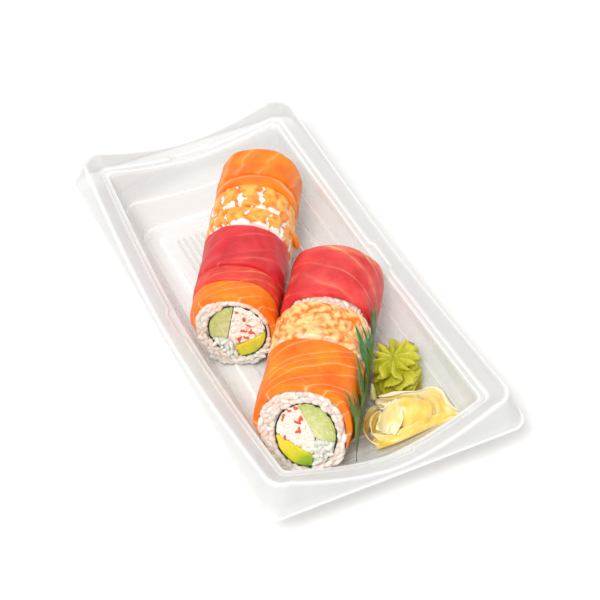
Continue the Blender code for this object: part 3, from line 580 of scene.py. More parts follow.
def outline(roll, angle, inset):
    """Places round a roll's section, brought in by inset."""
    c = np.cos(angle)
    t = np.sin(angle)
    side = np.where(c > 0, roll["right"], roll["left"]) - inset
    half = roll["half_height"] - inset / 2
    power = 2 / np.where(t > 0, TOP_POWER, BOTTOM_POWER)
    return side * np.sign(c) * np.abs(c) ** power, half + half * np.sign(t) * np.abs(t) ** power


def wall_reach(z, brow_z, brow, floor):
    rise = np.clip((z - SHEET) / (brow_z - SHEET), 0.0, 1.0)
    return floor + (brow - floor) * rise ** (1 / WALL_POWER)


def settle(points, clear):
    """Presses points in from the tray's walls and up off its floor."""
    x, y, z = points[..., 0], points[..., 1], points[..., 2]
    z = np.maximum(z, SHEET + PANEL_RISE + np.minimum(clear, 0.6 * MM))
    end = side_blend(x / BROW_HALF[0])
    side = side_blend(y / BROW_HALF[1])
    limit_x = wall_reach(z, mix(BROW_HEIGHTS[1], BROW_HEIGHTS[0], side), BROW_HALF[0], FLOOR_HALF[0]) - clear
    limit_y = wall_reach(z, mix(BROW_HEIGHTS[2], BROW_HEIGHTS[0], end), BROW_HALF[1], FLOOR_HALF[1]) - clear
    return np.stack([np.clip(x, -limit_x, limit_x), np.clip(y, -limit_y, limit_y), z], -1)


def layer(roll, angle, inset, s):
    u, v = outline(roll, angle, inset)
    return settle(roll_place(roll, u, v, s), WALL_CLEAR + inset)


def core_point(roll, angle, grow):
    radii = roll["core_radii"]
    return (roll["core"][0] + (radii[0] + grow) * np.cos(angle),
            roll["core"][1] + (radii[1] + grow) * np.sin(angle))


def edge_profile(distance, width):
    """Rounded thinning towards an edge, from 0 at the edge to 1 at width."""
    t = np.clip(distance / width, 0.0, 1.0)
    return np.sqrt(1 - (1 - t) ** 2)


def build_fish(roll, part, span, sides, seed, material, tints, suffix="_slice", ends=(1.2, 1.2), wobble=0.8,
               lift=0.0, wave=0.25, lines=(6.5, 0.45, 0.0), cross=(7.0, -0.7, 0.0), relief=None, step=0.7,
               front_cut=0.0):
    """A slice laid over a roll. span: its ends along the roll; sides: its lower edges in degrees.

    ends: how far in its front and back thin out; lines and cross: spacing, slant and bulge of the pale lines.
    """
    start, end = span[0] * MM, span[1] * MM
    rows = max(8, int((end - start) / (step * MM)))
    p = np.sort(np.concatenate([np.linspace(0, 1, rows), [0.004, 0.012, 0.03, 0.97, 0.988, 0.996]]))
    q = np.sort(np.concatenate([np.linspace(0, 1, int(FISH_ARC / step)), [0.002, 0.006, 0.994, 0.998]]))
    front_wobble = ripples(seed, 5, 14.0, 50.0)
    back_wobble = ripples(seed + 1, 5, 14.0, 50.0)
    low_wobble = ripples(seed + 2, 4, 5.0, 16.0)
    waves = ripples(seed + 3, 7, 7.0, 30.0)
    uneven = ripples(seed + 4, 4, 0.9, 2.5)
    grid_p, grid_q = np.meshgrid(p, q, indexing="ij")
    s_mm = grid_p * (span[1] - span[0])
    low = math.radians(sides[0]) + 0.05 * wobble * low_wobble(s_mm, 0 * s_mm)
    low = low + math.radians(front_cut) * np.exp(-(s_mm / 7.0) ** 2)
    high = math.radians(sides[1]) + 0.05 * wobble * low_wobble(s_mm + 40, 0 * s_mm)
    angle = low + (high - low) * grid_q
    arc_mm = FISH_ARC * grid_q
    first = start + (front_wobble(arc_mm, 0 * arc_mm) * wobble * 0.5 * MM if ends[0] > 0.5 else 0.0)
    last = end + (back_wobble(arc_mm, 0 * arc_mm) * wobble * 0.5 * MM if ends[1] > 0.5 else 0.0)
    s = first + (last - first) * grid_p
    d_front = (s - first) / MM
    d_back = (last - s) / MM
    d_side = np.minimum(grid_q, 1 - grid_q) * FISH_ARC
    fullness = edge_profile(d_front, ends[0]) * edge_profile(d_back, ends[1])
    fullness = fullness * (0.3 + 0.7 * smooth_step(d_side / 7.0)) * edge_profile(d_side, 0.8)
    height = FISH_THICK + wave * waves(s_mm, arc_mm) * smooth_step(d_side / 12)
    if relief is not None:
        height = height + relief(s / MM, arc_mm)
    height = np.minimum(height, FISH_MOST) + lift * smooth_step(1 - d_front / 9.0)
    thickness = np.maximum(height * fullness, 0.06) * MM
    under = layer(roll, angle, FISH_INNER + 0 * angle, s)
    top = layer(roll, angle, FISH_INNER - thickness, s)
    maps = []
    for spacing, slant, bulge in (lines, cross):
        from_top = arc_mm - FISH_ARC / 2
        phase = (s / MM + slant * from_top + bulge * (from_top / (FISH_ARC / 2)) ** 2) / spacing
        phase = phase + 0.3 * uneven(phase, 0 * phase)
        along = (arc_mm - slant * s / MM) / (30 * (1 + slant ** 2))
        maps.append(np.stack([phase, along], -1))
    node = roll["name"] + "_" + part
    piece = slab(node + suffix, top, under, material, maps[0], tints(s / MM, arc_mm, d_front), maps[1])
    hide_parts(node)
    return piece


def flesh_tints(warm=(1.0, 1.0, 1.0), fat=None):
    """Soft blotches over a slice of fish, with a share of pale fat where that is given."""
    blotch = ripples(31, 8, 6.0, 26.0)

    def tints(s, arc, d_front):
        colour = (1 + 0.07 * blotch(s, arc))[..., None] * np.array(warm)
        if fat is not None:
            share = fat(s, arc)[..., None]
            colour = colour * (1 - share) + np.array((1.15, 7.0, 3.4)) * share
        return colour
    return tints


def shrimp_cells(rows, start, end, cell, seed):
    """Segments of split prawn: rows along the roll, each a run of bulging scales round it."""
    rng = np.random.default_rng(seed)
    shift = rng.uniform(-1, 1, (16, 64))
    drift = ripples(seed + 5, 6, 4.0, 14.0)

    def cells(s, arc):
        arc = arc + 0.9 * drift(s, arc)
        s = s + 0.5 * drift(arc + 30, s)
        t = (s - start) / (end - start) * rows
        row = np.clip(np.floor(t), 0, rows - 1).astype(int)
        across = np.clip(2 * (t - row) - 1, -1, 1)
        position = arc / cell + 0.43 * row + 0.1 * (1 - across ** 2)
        column = np.floor(position).astype(int)
        chance = shift[row % 16, column % 64]
        along = np.clip(2 * (position - column) - 1, -1, 1)
        return chance, across, along
    return cells


def shrimp_relief(cells):
    def relief(s, arc):
        chance, across, along = cells(s, arc)
        dome = np.sqrt(np.clip(1 - np.abs(along) ** 3.0, 0, 1) * np.clip(1 - np.abs(across) ** 3.4, 0, 1))
        return 1.3 * (dome - 0.62) * (1 + 0.25 * chance)
    return relief


def shrimp_tints(cells, seed, white_share):
    """Orange patches in white meat, redder along their rims and down the left flank."""
    white = rgb(252, 242, 234)
    cream = rgb(255, 190, 74)
    orange = rgb(255, 132, 8)
    red = rgb(240, 70, 4)
    mottle = ripples(seed, 14, 2.0, 5.0)
    broad = ripples(seed + 1, 8, 4.0, 10.0)

    def tints(s, arc, d_front):
        chance, across, along = cells(s, arc)
        fine = mottle(s, arc)
        taper = 0.84 + 0.26 * smooth_step(0.5 - across) + 0.1 * chance
        reach = np.maximum(np.abs(along + 0.16 * chance) * taper, np.abs(across - 0.1) * 0.84)
        patch = 1 - reach + 0.14 * fine + 0.16 * broad(s, arc) - white_share
        inside = smooth_step(patch / 0.07)
        rim = np.exp(-((patch - 0.08) / 0.10) ** 2)
        body = between(cream, orange, np.clip(0.36 + 0.28 * fine + 0.45 * broad(arc, s) + 0.6 * rim, 0, 1))
        body = between(body, red, np.clip(0.75 * rim * (0.5 + fine) - 0.1, 0, 0.75))
        return between(between(white, body, inside), red, 0.7 * smooth_step((arc - 72) / 12) * inside)
    return tints


def pale_shrimp_tints(cells, seed):
    """Cream lumps with orange creases between them, whiter down both flanks."""
    mottle = ripples(seed, 14, 1.6, 4.5)
    broad = ripples(seed + 1, 8, 4.0, 12.0)

    def tints(s, arc, d_front):
        chance, across, along = cells(s, arc)
        crease = smooth_step((np.maximum(np.abs(along), 0.95 * np.abs(across)) - 0.78) / 0.2)
        tone = 0.26 + 0.6 * crease + 0.5 * mottle(s, arc) + 0.4 * broad(s, arc) + 0.3 * chance
        colour = between(rgb(255, 206, 132), rgb(255, 120, 6), np.clip(tone, 0, 1))
        flanks = smooth_step((28 - arc) / 12) + smooth_step((arc - 74) / 12) + np.exp(-d_front / 1.5)
        return between(colour, rgb(250, 234, 218), np.clip(flanks * (0.7 + 0.8 * broad(arc, s)), 0, 0.9))
    return tints


def clip(points, corner, direction, margin=0.0):
    """Keeps the part of a convex outline past a line."""
    normal = (math.cos(direction), math.sin(direction))
    depth = [(u - corner[0]) * normal[0] + (v - corner[1]) * normal[1] - margin for u, v in points]
    kept = []
    for i, (u, v) in enumerate(points):
        j = (i + 1) % len(points)
        if depth[i] >= 0:
            kept.append((u, v))
        if (depth[i] >= 0) != (depth[j] >= 0):
            t = depth[i] / (depth[i] - depth[j])
            kept.append((mix(u, points[j][0], t), mix(v, points[j][1], t)))
    return kept


def filling_outlines(roll):
    u, v = core_point(roll, np.linspace(0, 2 * math.pi, 96, endpoint=False), -NORI / 2 - 0.08 * MM)
    disc = list(zip(u, v))
    cucumber_at, cucumber_side, cucumber_low = roll["cucumber"]
    avocado_at, avocado_side, avocado_high = roll["avocado"]
    rice_at, rice_side = roll["inner_rice"]
    gap = 0.15 * MM
    cucumber = clip(clip(disc, cucumber_at, cucumber_side, gap), (0, cucumber_low), UP, gap)
    avocado = clip(clip(disc, avocado_at, avocado_side, gap), (0, avocado_high), DOWN, gap)
    avocado = clip(avocado, rice_at, rice_side + math.pi, 2 * gap)
    crab = disc
    for place, side, margin in ((cucumber_at, cucumber_side, gap), (avocado_at, avocado_side, gap),
                                (rice_at, rice_side, 2 * gap)):
        crab = clip(crab, place, side + math.pi, margin)
    tongue = clip(clip(disc, rice_at, rice_side), rice_at, DOWN)
    return {"avocado": avocado, "cucumber": cucumber, "crab": crab, "tongue": tongue}


def even_outline(points, spacing, rounding):
    """An outline with evenly spaced points and softened corners."""
    points = np.array(points)
    closed = np.vstack([points, points[:1]])
    lengths = np.concatenate([[0], np.cumsum(np.hypot(*np.diff(closed, axis=0).T))])
    count = max(12, int(lengths[-1] / spacing))
    at = np.linspace(0, lengths[-1], count, endpoint=False)
    even = np.stack([np.interp(at, lengths, closed[:, 0]), np.interp(at, lengths, closed[:, 1])], -1)
    for _ in range(rounding):
        even = 0.5 * even + 0.25 * (np.roll(even, 1, axis=0) + np.roll(even, -1, axis=0))
    return even


def build_bar(name, roll, points, inset, dome, material, tint_at, seed, roughen=0.15):
    """A filling that runs through the roll, its two cut faces slightly domed and uneven."""
    boundary = even_outline(points, 0.45 * MM, 3)
    centre = boundary.mean(axis=0)
    uneven = ripples(seed, 10, 1.5, 7.0)
    rings = (1.0, 0.985, 0.95, 0.88, 0.76, 0.62, 0.46, 0.3, 0.14)
    order = [(ring, 0) for ring in reversed(rings)]
    order += [(1.0, share) for share in (0.02, 0.2, 0.4, 0.6, 0.8, 0.98)]
    order += [(ring, 1) for ring in rings]
    verts = []
    tints = []
    for ring, share in order:
        u, v = (centre + (boundary - centre) * ring).T
        s = mix(inset, roll["length"] - inset, share)
        if share in (0, 1):
            bulge = dome * np.sqrt(max(0.0, 1 - ring ** 6)) + roughen * MM * uneven(u / MM, v / MM)
            s = s + bulge * (-1 if share == 0 else 1)
        verts.append(roll_place(roll, u, v, s + 0 * u))
        tints.append(tint_at(u / MM, v / MM))
    return make_mesh(name, np.array(verts).reshape(-1, 3), tube_faces(len(order), len(boundary)), material,
                     tint=np.array(tints).reshape(-1, 3), sharp=60)


def plain_tint(colour):
    return lambda u, v: np.tile(colour, (len(u), 1))


def gradient(stops):
    """A colour from a share of 0 to 1, through evenly spaced 8-bit colours."""
    tones = np.array([srgb(*stop)[:3] for stop in stops])
    places = np.linspace(0, 1, len(tones))

    def at(share):
        share = np.clip(share, 0, 1)
        return np.stack([np.interp(share, places, tones[:, k]) for k in range(3)], -1)
    return at


def build_cores(roll):
    """Cucumber, avocado, crab and their shreds."""
    outlines = filling_outlines(roll)
    spot = ripples(5, 8, 2.0, 8.0)
    avocado_tone = gradient(((231, 211, 60), (226, 210, 32), (206, 206, 24), (150, 180, 14), (90, 140, 14)))
    centre = np.mean(outlines["avocado"], axis=0) / MM
    cucumber_tone = gradient(((217, 216, 156), (204, 206, 134), (186, 194, 106), (120, 150, 56)))
    radii = np.array(roll["core_radii"]) / MM
    middle = np.array(roll["core"]) / MM

    def avocado_tint(u, v):
        return avocado_tone(((u - centre[0]) * 0.5 - (v - centre[1]) * 0.86) / 13 + 0.42 + 0.06 * spot(u, v))

    def cucumber_tint(u, v):
        out = np.hypot((u - middle[0]) / radii[0], (v - middle[1]) / radii[1])
        skin = 1.6 * np.maximum(out - 0.93, 0)
        return cucumber_tone((out - 0.35) * 1.05 + 0.10 * spot(u * 1.5, v * 1.5) + skin)

    pieces = []
    for kind, shape, inset, dome, material, tint_at, seed, roughen in (
            ("avocado", "slice", 0.3, 0.7, AVOCADO, avocado_tint, 41, 0.15),
            ("cucumber", "stick", 0.2, 0.4, CUCUMBER, cucumber_tint, 43, 0.2),
            ("crab", "core", 0.45, 0.3, CRAB, plain_tint(rgb(255, 240, 226)), 47, 0.3)):
        node = roll["name"] + "_" + kind
        piece = build_bar(node + "_" + shape, roll, outlines[kind], inset * MM, dome * MM, material, tint_at,
                          seed, roughen)
        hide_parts(node)
        pieces.append((piece, kind))
    return pieces + [(piece, "crab") for piece in build_shreds(roll, outlines["crab"])]


def unit_grain(segments=9, rings=7, point=1.0):
    """Verts and faces of a unit ellipsoid along X."""
    verts = [(1.0, 0.0, 0.0)]
    for i in range(1, rings):
        angle = math.pi * i / rings
        r = math.sin(angle) ** point
        for k in range(segments):
            turn = 2 * math.pi * k / segments
            verts.append((math.cos(angle), r * math.cos(turn), r * math.sin(turn)))
    verts.append((-1.0, 0.0, 0.0))
    last = 1 + (rings - 2) * segments
    pairs = [(k, (k + 1) % segments) for k in range(segments)]
    faces = []
    for k, j in pairs:
        faces += [(0, 1 + k, 1 + j), (len(verts) - 1, last + j, last + k)]
    for a in range(1, last, segments):
        faces += [(a + k, a + segments + k, a + segments + j, a + j) for k, j in pairs]
    return np.array(verts), faces


def scatter(name, places, material, shape=None):
    """Many small rounded pieces in one mesh: (centre, long axis, side axis, half sizes, bend, colour)."""
    unit, unit_faces = shape or unit_grain()
    verts = []
    faces = []
    tints = []
    for centre, long_axis, side_axis, sizes, bend, colour in places:
        long_axis = long_axis / np.linalg.norm(long_axis)
        third = np.cross(long_axis, side_axis)
        third = third / np.linalg.norm(third)
        side = np.cross(third, long_axis)
        offset = len(verts) * len(unit)
        local = unit * np.array(sizes)
        local[:, 1] += bend * (unit[:, 0] ** 2 - 0.4) * sizes[1]
        verts.append(centre + local[:, :1] * long_axis + local[:, 1:2] * side + local[:, 2:] * third)
        faces += [tuple(offset + k for k in face) for face in unit_faces]
        tints.append(np.tile(colour, (len(unit), 1)))
    return make_mesh(name, np.concatenate(verts), faces, material, tint=np.concatenate(tints))


def roll_axes(roll):
    turn = roll["turn"]
    right = np.array((math.cos(turn), -math.sin(turn), 0.0))
    back = np.array((math.sin(turn), math.cos(turn), 0.0))
    return right, back, np.array((0.0, 0.0, 1.0))


def cut_axes(roll, spin, tip, facing):
    """Long and side axes of a small piece that lies in a cut face."""
    right, back, up = roll_axes(roll)
    if facing < 0 and roll["cut_tilt"]:
        up = up * math.cos(roll["cut_tilt"]) + back * math.sin(roll["cut_tilt"])
        back = np.cross(up, right)
    flat_way = right * math.cos(spin) + up * math.sin(spin)
    side_way = -right * math.sin(spin) + up * math.cos(spin)
    return flat_way * math.cos(tip) + back * math.sin(tip), side_way


def inside_room(points, u, v):
    """Least distance from a place to the edges of a convex outline."""
    a = np.array(points)
    b = np.roll(a, -1, axis=0)
    edge = b - a
    length = np.hypot(edge[:, 0], edge[:, 1])
    keep = length > 1e-6
    cross = edge[:, 0] * (v - a[:, 1]) - edge[:, 1] * (u - a[:, 0])
    return np.min(cross[keep] / length[keep])


def build_shreds(roll, points):
    """Shreds and orange flecks of crab stick in both cut faces."""
    rng = np.random.default_rng(int(roll["length"] * 1e4))
    white = rgb(255, 242, 230)
    fleck = rgb(250, 84, 44)
    points = np.array(points)
    low, high = points.min(axis=0), points.max(axis=0)
    pale = []
    bright = []
    for facing, s_face in ((-1, 0.0), (1, roll["length"])):
        for number in range(130):
            is_fleck = number % 14 == 0
            for _ in range(60):
                u, v = rng.uniform(low[0], high[0]), rng.uniform(low[1], high[1])
                half = rng.uniform(1.0, 1.8 if is_fleck else 2.5) * MM
                spin = rng.uniform(0, math.pi)
                ends = [(u + k * half * math.cos(spin), v + k * half * math.sin(spin)) for k in (-1, 1)]
                if min(inside_room(points, *end) for end in ends) > -0.2 * MM:
                    break
            else:
                continue
            wide = (rng.uniform(0.55, 0.8) if is_fleck else rng.uniform(0.5, 0.9)) * MM
            depth = rng.uniform(0.0, 0.35) * MM - (0.45 * MM if is_fleck else 0.0)
            centre = roll_place(roll, u, v, s_face - facing * depth)
            long_axis, side_axis = cut_axes(roll, spin, rng.uniform(-0.3, 0.3), facing)
            tone = (fleck if is_fleck else white) * rng.uniform(0.9, 1.05)
            entry = (centre, long_axis, side_axis, (half, wide, wide * 0.8), rng.uniform(-0.8, 0.8), tone)
            (bright if is_fleck else pale).append(entry)
    shape = unit_grain(7, 6, 0.7)
    return [scatter(roll["name"] + "_crab_shreds", pale, CRAB, shape),
            scatter(roll["name"] + "_crab_flecks", bright, CRAB, shape)]


def build_nori(roll):
    """The seaweed between rice and filling, open at one side, its cut ends ragged."""
    seed = roll["seed"] + 1
    uneven = ripples(seed, 5, 4.0, 14.0)
    ragged = ripples(seed + 1, 8, 0.8, 4.0)
    stations = np.linspace(0.0, roll["length"], 40)
    s, angle = np.meshgrid(stations, np.linspace(*roll["nori_ends"], 150), indexing="ij")
    arc = angle * 14
    end = np.where(s < 1 * MM, -1.0, 0.0) + np.where(s > roll["length"] - 1 * MM, 1.0, 0.0)
    s = s + end * 0.5 * MM * ragged(arc, 0 * arc)
    shift = 0.16 * MM * uneven(arc, 0 * arc)
    faces = [roll_place(roll, *core_point(roll, angle, grow + shift), s) for grow in (NORI / 2, -NORI / 2)]
    sheet = slab(roll["name"] + "_seaweed", *faces, SEAWEED)
    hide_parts(roll["name"] + "_nori")
    return sheet


RICE_TONES = ((248, 226, 212), (242, 218, 204), (246, 232, 220), (250, 212, 194), (240, 230, 220))


def rice_tone(rng, cool=0.0):
    tone = mix(rgb(*RICE_TONES[int(rng.integers(len(RICE_TONES)))]), rgb(226, 234, 222), cool)
    return tone * rng.uniform(0.94, 1.02)


def grain_sizes(rng):
    long = rng.uniform(2.3, 2.95) * MM
    wide = rng.uniform(1.12, 1.38) * MM
    return long, wide, wide * rng.uniform(0.78, 0.95)


def ring_distance(roll, u, v):
    """How far a place in the section is out from the seaweed and in from the fish, in metres."""
    middle = roll["core"]
    angle = math.atan2((v - middle[1]) / roll["core_radii"][1], (u - middle[0]) / roll["core_radii"][0])
    core_u, core_v = core_point(roll, angle, NORI / 2)
    here = math.hypot(u - middle[0], v - middle[1])
    reach = np.linspace(0, 30 * MM, 121)
    x = middle[0] + (u - middle[0]) / here * reach
    y = middle[1] + (v - middle[1]) / here * reach
    side = np.where(x > 0, roll["right"], roll["left"]) - FISH
    half = roll["half_height"] - FISH / 2
    outside = np.abs(x / side) ** MEAN_POWER + np.abs((y - half) / half) ** MEAN_POWER > 1
    far = reach[np.argmax(outside)] if outside.any() else reach[-1]
    return here - math.hypot(core_u - middle[0], core_v - middle[1]), far - here


def crowded(centres, centre, room):
    """Whether a place is too near those already taken; takes it if it isn't."""
    if centres and np.min(np.linalg.norm(np.array(centres) - centre, axis=1)) < room:
        return True
    centres.append(centre)
    return False


def cut_face_grains(roll, facing, s_face, rng, wanted):
    """Grains of rice packed in the ring of a cut face."""
    places = []
    centres = []
    for tries in range(1, 6001):
        if len(places) == wanted:
            break
        u = rng.uniform(-roll["left"], roll["right"])
        v = rng.uniform(0, 2 * roll["half_height"])
        inner, outer = ring_distance(roll, u, v)
        if inner < 0.98 * MM or outer < 0.7 * MM or v < 1.2 * MM:
            continue
        depth = rng.uniform(-0.3, 0.6) * MM
        if crowded(centres, np.array((u, v, depth)), 1.7 * MM if tries < 3500 else 1.3 * MM):
            continue
        around = math.atan2(v - roll["core"][1], u - roll["core"][0]) + math.pi / 2
        loose = 0.25 + 0.9 * min(max(min(inner, outer) / MM - 1.2, 0.0), 1.0)
        spin = around + rng.uniform(-loose, loose)
        sizes = grain_sizes(rng)
        axes = cut_axes(roll, spin, rng.uniform(-0.5, 0.5), facing)
        place = settle(roll_place(roll, u, v, s_face - facing * depth)[None], 2.2 * MM)[0]
        # Painted shade: grains in the lowest 14 mm of a cut face are mixed towards a cool grey.
        cool = 0.55 * max(0.0, 1 - v / (14 * MM))
        places.append((place, *axes, sizes, rng.uniform(-0.35, 0.35), rice_tone(rng, cool)))
    return places


def tongue_grains(roll, points, facing, s_face, rng):
    """Grains where the rice comes in through the open seaweed."""
    points = np.array(points)
    low, high = points.min(axis=0) - 1.5 * MM, points.max(axis=0)
    places = []
    centres = []
    for _ in range(900):
        u, v = rng.uniform(low[0], high[0]), rng.uniform(low[1], high[1])
        if inside_room(points, u, v) < 0.5 * MM:
            continue
        depth = rng.uniform(-0.3, 0.8) * MM
        if crowded(centres, np.array((u, v, depth)), 1.6 * MM):
            continue
        axes = cut_axes(roll, rng.uniform(0, math.pi), rng.uniform(-0.8, 0.8), facing)
        sizes = tuple(k * 0.85 for k in grain_sizes(rng))
        place = roll_place(roll, u, v, s_face - facing * depth)
        places.append((place, *axes, sizes, rng.uniform(-0.3, 0.3), rice_tone(rng, 0.75)))
    return places


def flank_grains(roll, angles_degrees, span, rng, spacing, proud):
    """Grains pressed into the roll's outer face, between two angles."""
    places = []
    low, high = angles_degrees
    around = max(2, int((high - low) / 180 * math.pi * MEAN_RADIUS / spacing[0]))
    along = max(1, int((span[1] - span[0]) / spacing[1]))
    back = roll_axes(roll)[1]
    inset = FISH + (0.9 - proud) * MM
    for i in range(along):
        for k in range(around):
            s = (span[0] + (i + rng.uniform(0.15, 0.85)) * spacing[1]) * MM
            angle = math.radians(low + (high - low) * (k + rng.uniform(0.15, 0.85)) / around)
            centre, ahead = (layer(roll, np.array(a), inset, np.array(s)) for a in (angle, angle + 0.02))
            way = (ahead - centre) / np.linalg.norm(ahead - centre)
            spin = rng.uniform(0, math.pi)
            long_axis = way * math.cos(spin) + back * math.sin(spin)
            side_axis = -way * math.sin(spin) + back * math.cos(spin)
            long, wide, flat_half = grain_sizes(rng)
            # Painted shade: grains on the roll's underside are mixed towards a cool grey.
            cool = 0.3 if math.sin(angle) < -0.5 else 0.0
            places.append((centre, long_axis, side_axis, (long, wide, flat_half * 0.8),
                           rng.uniform(-0.3, 0.3), rice_tone(rng, cool)))
    return places


def build_rice(roll):
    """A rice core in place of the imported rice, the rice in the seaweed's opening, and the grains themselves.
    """
    name, seed, length = roll["name"], roll["seed"], roll["length"]
    rng = np.random.default_rng(seed)
    angles = np.linspace(0, 2 * math.pi, 96, endpoint=False)
    stations = np.concatenate([[0.3 * MM], np.linspace(1.5 * MM, length - 1.5 * MM, 48), [length - 0.3 * MM]])
    s, angle = np.meshgrid(stations, angles, indexing="ij")
    lumps = ripples(seed, 14, 2.2, 6.0)
    outer = layer(roll, angle, FISH + 0.25 * MM + 0.2 * MM * lumps(s / MM, angle * MEAN_RADIUS), s)
    inner = roll_place(roll, *core_point(roll, angle, NORI / 2 + 0.15 * MM), s)
    rows, columns = s.shape
    size = rows * columns
    verts = np.concatenate([outer.reshape(-1, 3), inner.reshape(-1, 3)])
    faces = grid_faces(rows, columns, closed=True) + grid_faces(rows, columns, size, closed=True, flip=True)
    last = (rows - 1) * columns
    for j in range(columns):
        k = (j + 1) % columns
        faces += [(k, j, size + j, size + k), (last + j, last + k, size + last + k, size + last + j)]
    tint = np.tile(rgb(244, 218, 202), (len(verts), 1))
    core = make_mesh(name + "_rice_core", verts, faces, RICE, tint=tint)
    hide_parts(name + "_rice")
    tongue = filling_outlines(roll)["tongue"]
    tongue_bar = build_bar(name + "_rice_tongue", roll, tongue, 0.8 * MM, 0.2 * MM, RICE,
                           plain_tint(rgb(222, 230, 222)), seed + 9)
    places = cut_face_grains(roll, -1, 0.0, rng, 120)
    places += cut_face_grains(roll, 1, length, rng, 110)
    places += tongue_grains(roll, tongue, -1, 0.0, rng)
    places += tongue_grains(roll, tongue, 1, length, rng)
    whole = (1.5, length / MM - 1.5)
    for sides, span, spacing, proud in (((-78, -14), whole, (2.7, 4.4), 0.35),
                                        ((196, 258), whole, (2.7, 4.4), 0.35),
                                        ((258, 282), whole, (3.4, 5.0), -0.15),
                                        ((-14, 196), roll["bare_span"], (2.4, 2.6), 0.9)):
        places += flank_grains(roll, sides, span, rng, spacing, proud)
    return [core, tongue_bar, scatter(name + "_rice_grains", places, RICE)]


# Wasabi, ginger and divider

WASABI_CENTRE = (27.8 * MM, -58.2 * MM)
WASABI_RADIUS = 13.6 * MM
WASABI_TOP = 19.0 * MM
WASABI_RIDGES = 10
DIVIDER_OFF = 1.0 * MM
DIVIDER_SHEET = 0.45 * MM


def clear_of_divider(points, margin):
    """Pushes soft pieces off the divider."""
    turn = ROLL_B["turn"]
    right = np.array((math.cos(turn), -math.sin(turn)))
    side = (points[..., 0] - ROLL_B["front"][0]) * right[0] + (points[..., 1] - ROLL_B["front"][1]) * right[1]
    short = np.maximum(ROLL_B["right"] + DIVIDER_OFF + DIVIDER_SHEET + margin - side, 0.0)
    moved = points.copy()
    moved[..., 0] += short * right[0]
    moved[..., 1] += short * right[1]
    return moved


def build_wasabi():
    """A piped star: sharp ridges that sway and curl as they run down from the middle."""
    levels = np.concatenate([np.linspace(0, 0.86, 46), np.linspace(0.875, 1.0, 14)])
    reach = np.interp(levels, (0.0, 0.08, 0.3, 0.55, 0.74, 0.87, 0.95, 1.0),
                      (0.88, 0.97, 1.0, 0.98, 0.93, 0.80, 0.52, 0.10))
    climb = np.interp(levels, (0.0, 0.5, 0.8, 0.92, 1.0), (0.0, 0.52, 0.84, 0.95, 0.97))
    count = WASABI_RIDGES * 30
    around = np.linspace(0, 2 * math.pi, count, endpoint=False)
    level, angle = np.meshgrid(levels, around, indexing="ij")
    rough = ripples(17, 34, 0.6, 2.4)
    grain = ripples(18, 30, 0.35, 0.8)
    broad = ripples(19, 8, 6.0, 16.0)
    sway = 0.26 * np.sin(9.5 * level + 2.4 * np.sin(angle + 0.7))
    sway = (sway + 0.09 * np.sin(19 * level + 5 * np.sin(2 * angle))) * smooth_step((1 - level) * 3.5)
    crest = 1 - np.abs(np.sin(WASABI_RIDGES * (angle + sway) / 2 - 0.4)) ** 1.05
    depth = mix(0.16, 0.46, smooth_step(level * 1.5)) + 0.04 * np.sin(2 * angle)
    uneven = 1 + 0.05 * np.sin(3 * angle + 1) + 0.04 * broad(14 * angle, 14 * level)
    radius = WASABI_RADIUS * reach[:, None] * (1 - depth + depth * crest) * uneven
    radius = radius + (0.16 * rough(angle * 13, level * 22) + 0.07 * grain(angle * 13, level * 22)) * MM
    twist = 0.45 * level + 0.10 * crest * np.sin(7 * level + 3 * np.sin(angle))
    x = WASABI_CENTRE[0] + radius * np.cos(angle + twist)
    y = WASABI_CENTRE[1] + radius * np.sin(angle + twist)
    ridge_lift = (0.6 + 2.4 * smooth_step(level * 1.4 - 0.4) * np.clip(reach[:, None] * 1.1, 0, 1)) * crest
    z = mix(BASE_Z, WASABI_TOP, climb)[:, None] + ridge_lift * smooth_step(level * 2) * MM
    z = z + (0.14 * rough(angle * 9, level * 30) + 0.06 * grain(angle * 9, level * 30)) * MM
    points = settle(clear_of_divider(np.stack([x, y, z], -1), 0.35 * MM), 0.8 * MM + 0 * x)
    # Painted light: the crests of the upper half are painted lighter as highlights, and the grooves and the
    # foot darker as shade.
    tone = gradient(((166, 168, 12), (200, 196, 36), (216, 210, 70), (228, 222, 104)))
    tint = tone(0.2 + 0.5 * crest * smooth_step(level * 2) + 0.12 * rough(angle * 20, level * 40))
    rosette = make_mesh("wasabi_rosette", points.reshape(-1, 3), tube_faces(len(levels), count), WASABI,
                        tint=tint.reshape(-1, 3))
    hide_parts("wasabi")
    return rosette


# Ginger slices: rows of places in millimetres that each thin sheet passes through
SLICE_BACK = (
    ((13.1, -70.4, 13.5), (18.1, -73.1, 15.0), (23.7, -75.4, 15.5), (29.5, -78.1, 16.0),
     (35.2, -79.2, 16.5), (38.6, -82.0, 16.0), (38.4, -88.5, 15.5), (40.0, -92.7, 14.5),
     (43.0, -95.3, 13.0)),
    ((12.7, -70.7, 10.5), (17.9, -73.7, 11.5), (23.4, -76.1, 12.5), (29.2, -78.8, 13.0),
     (34.4, -80.1, 13.0), (36.7, -83.8, 13.0), (35.9, -89.8, 13.0), (37.7, -92.7, 12.5),
     (40.5, -95.5, 12.0)),
    ((12.4, -71.4, 7.5), (17.6, -74.4, 8.0), (23.1, -76.9, 9.0), (28.5, -79.4, 9.5), (32.8, -81.4, 10.0),
     (33.9, -85.7, 10.5), (33.2, -90.5, 10.5), (34.7, -93.1, 10.5), (37.7, -94.6, 10.5)),
    ((12.4, -72.3, 4.5), (17.2, -75.2, 5.0), (22.1, -77.9, 6.0), (27.1, -81.4, 7.0), (30.1, -83.8, 8.0),
     (31.1, -87.4, 8.5), (30.3, -91.5, 8.5), (31.7, -93.4, 8.5), (35.0, -94.3, 9.0)),
)
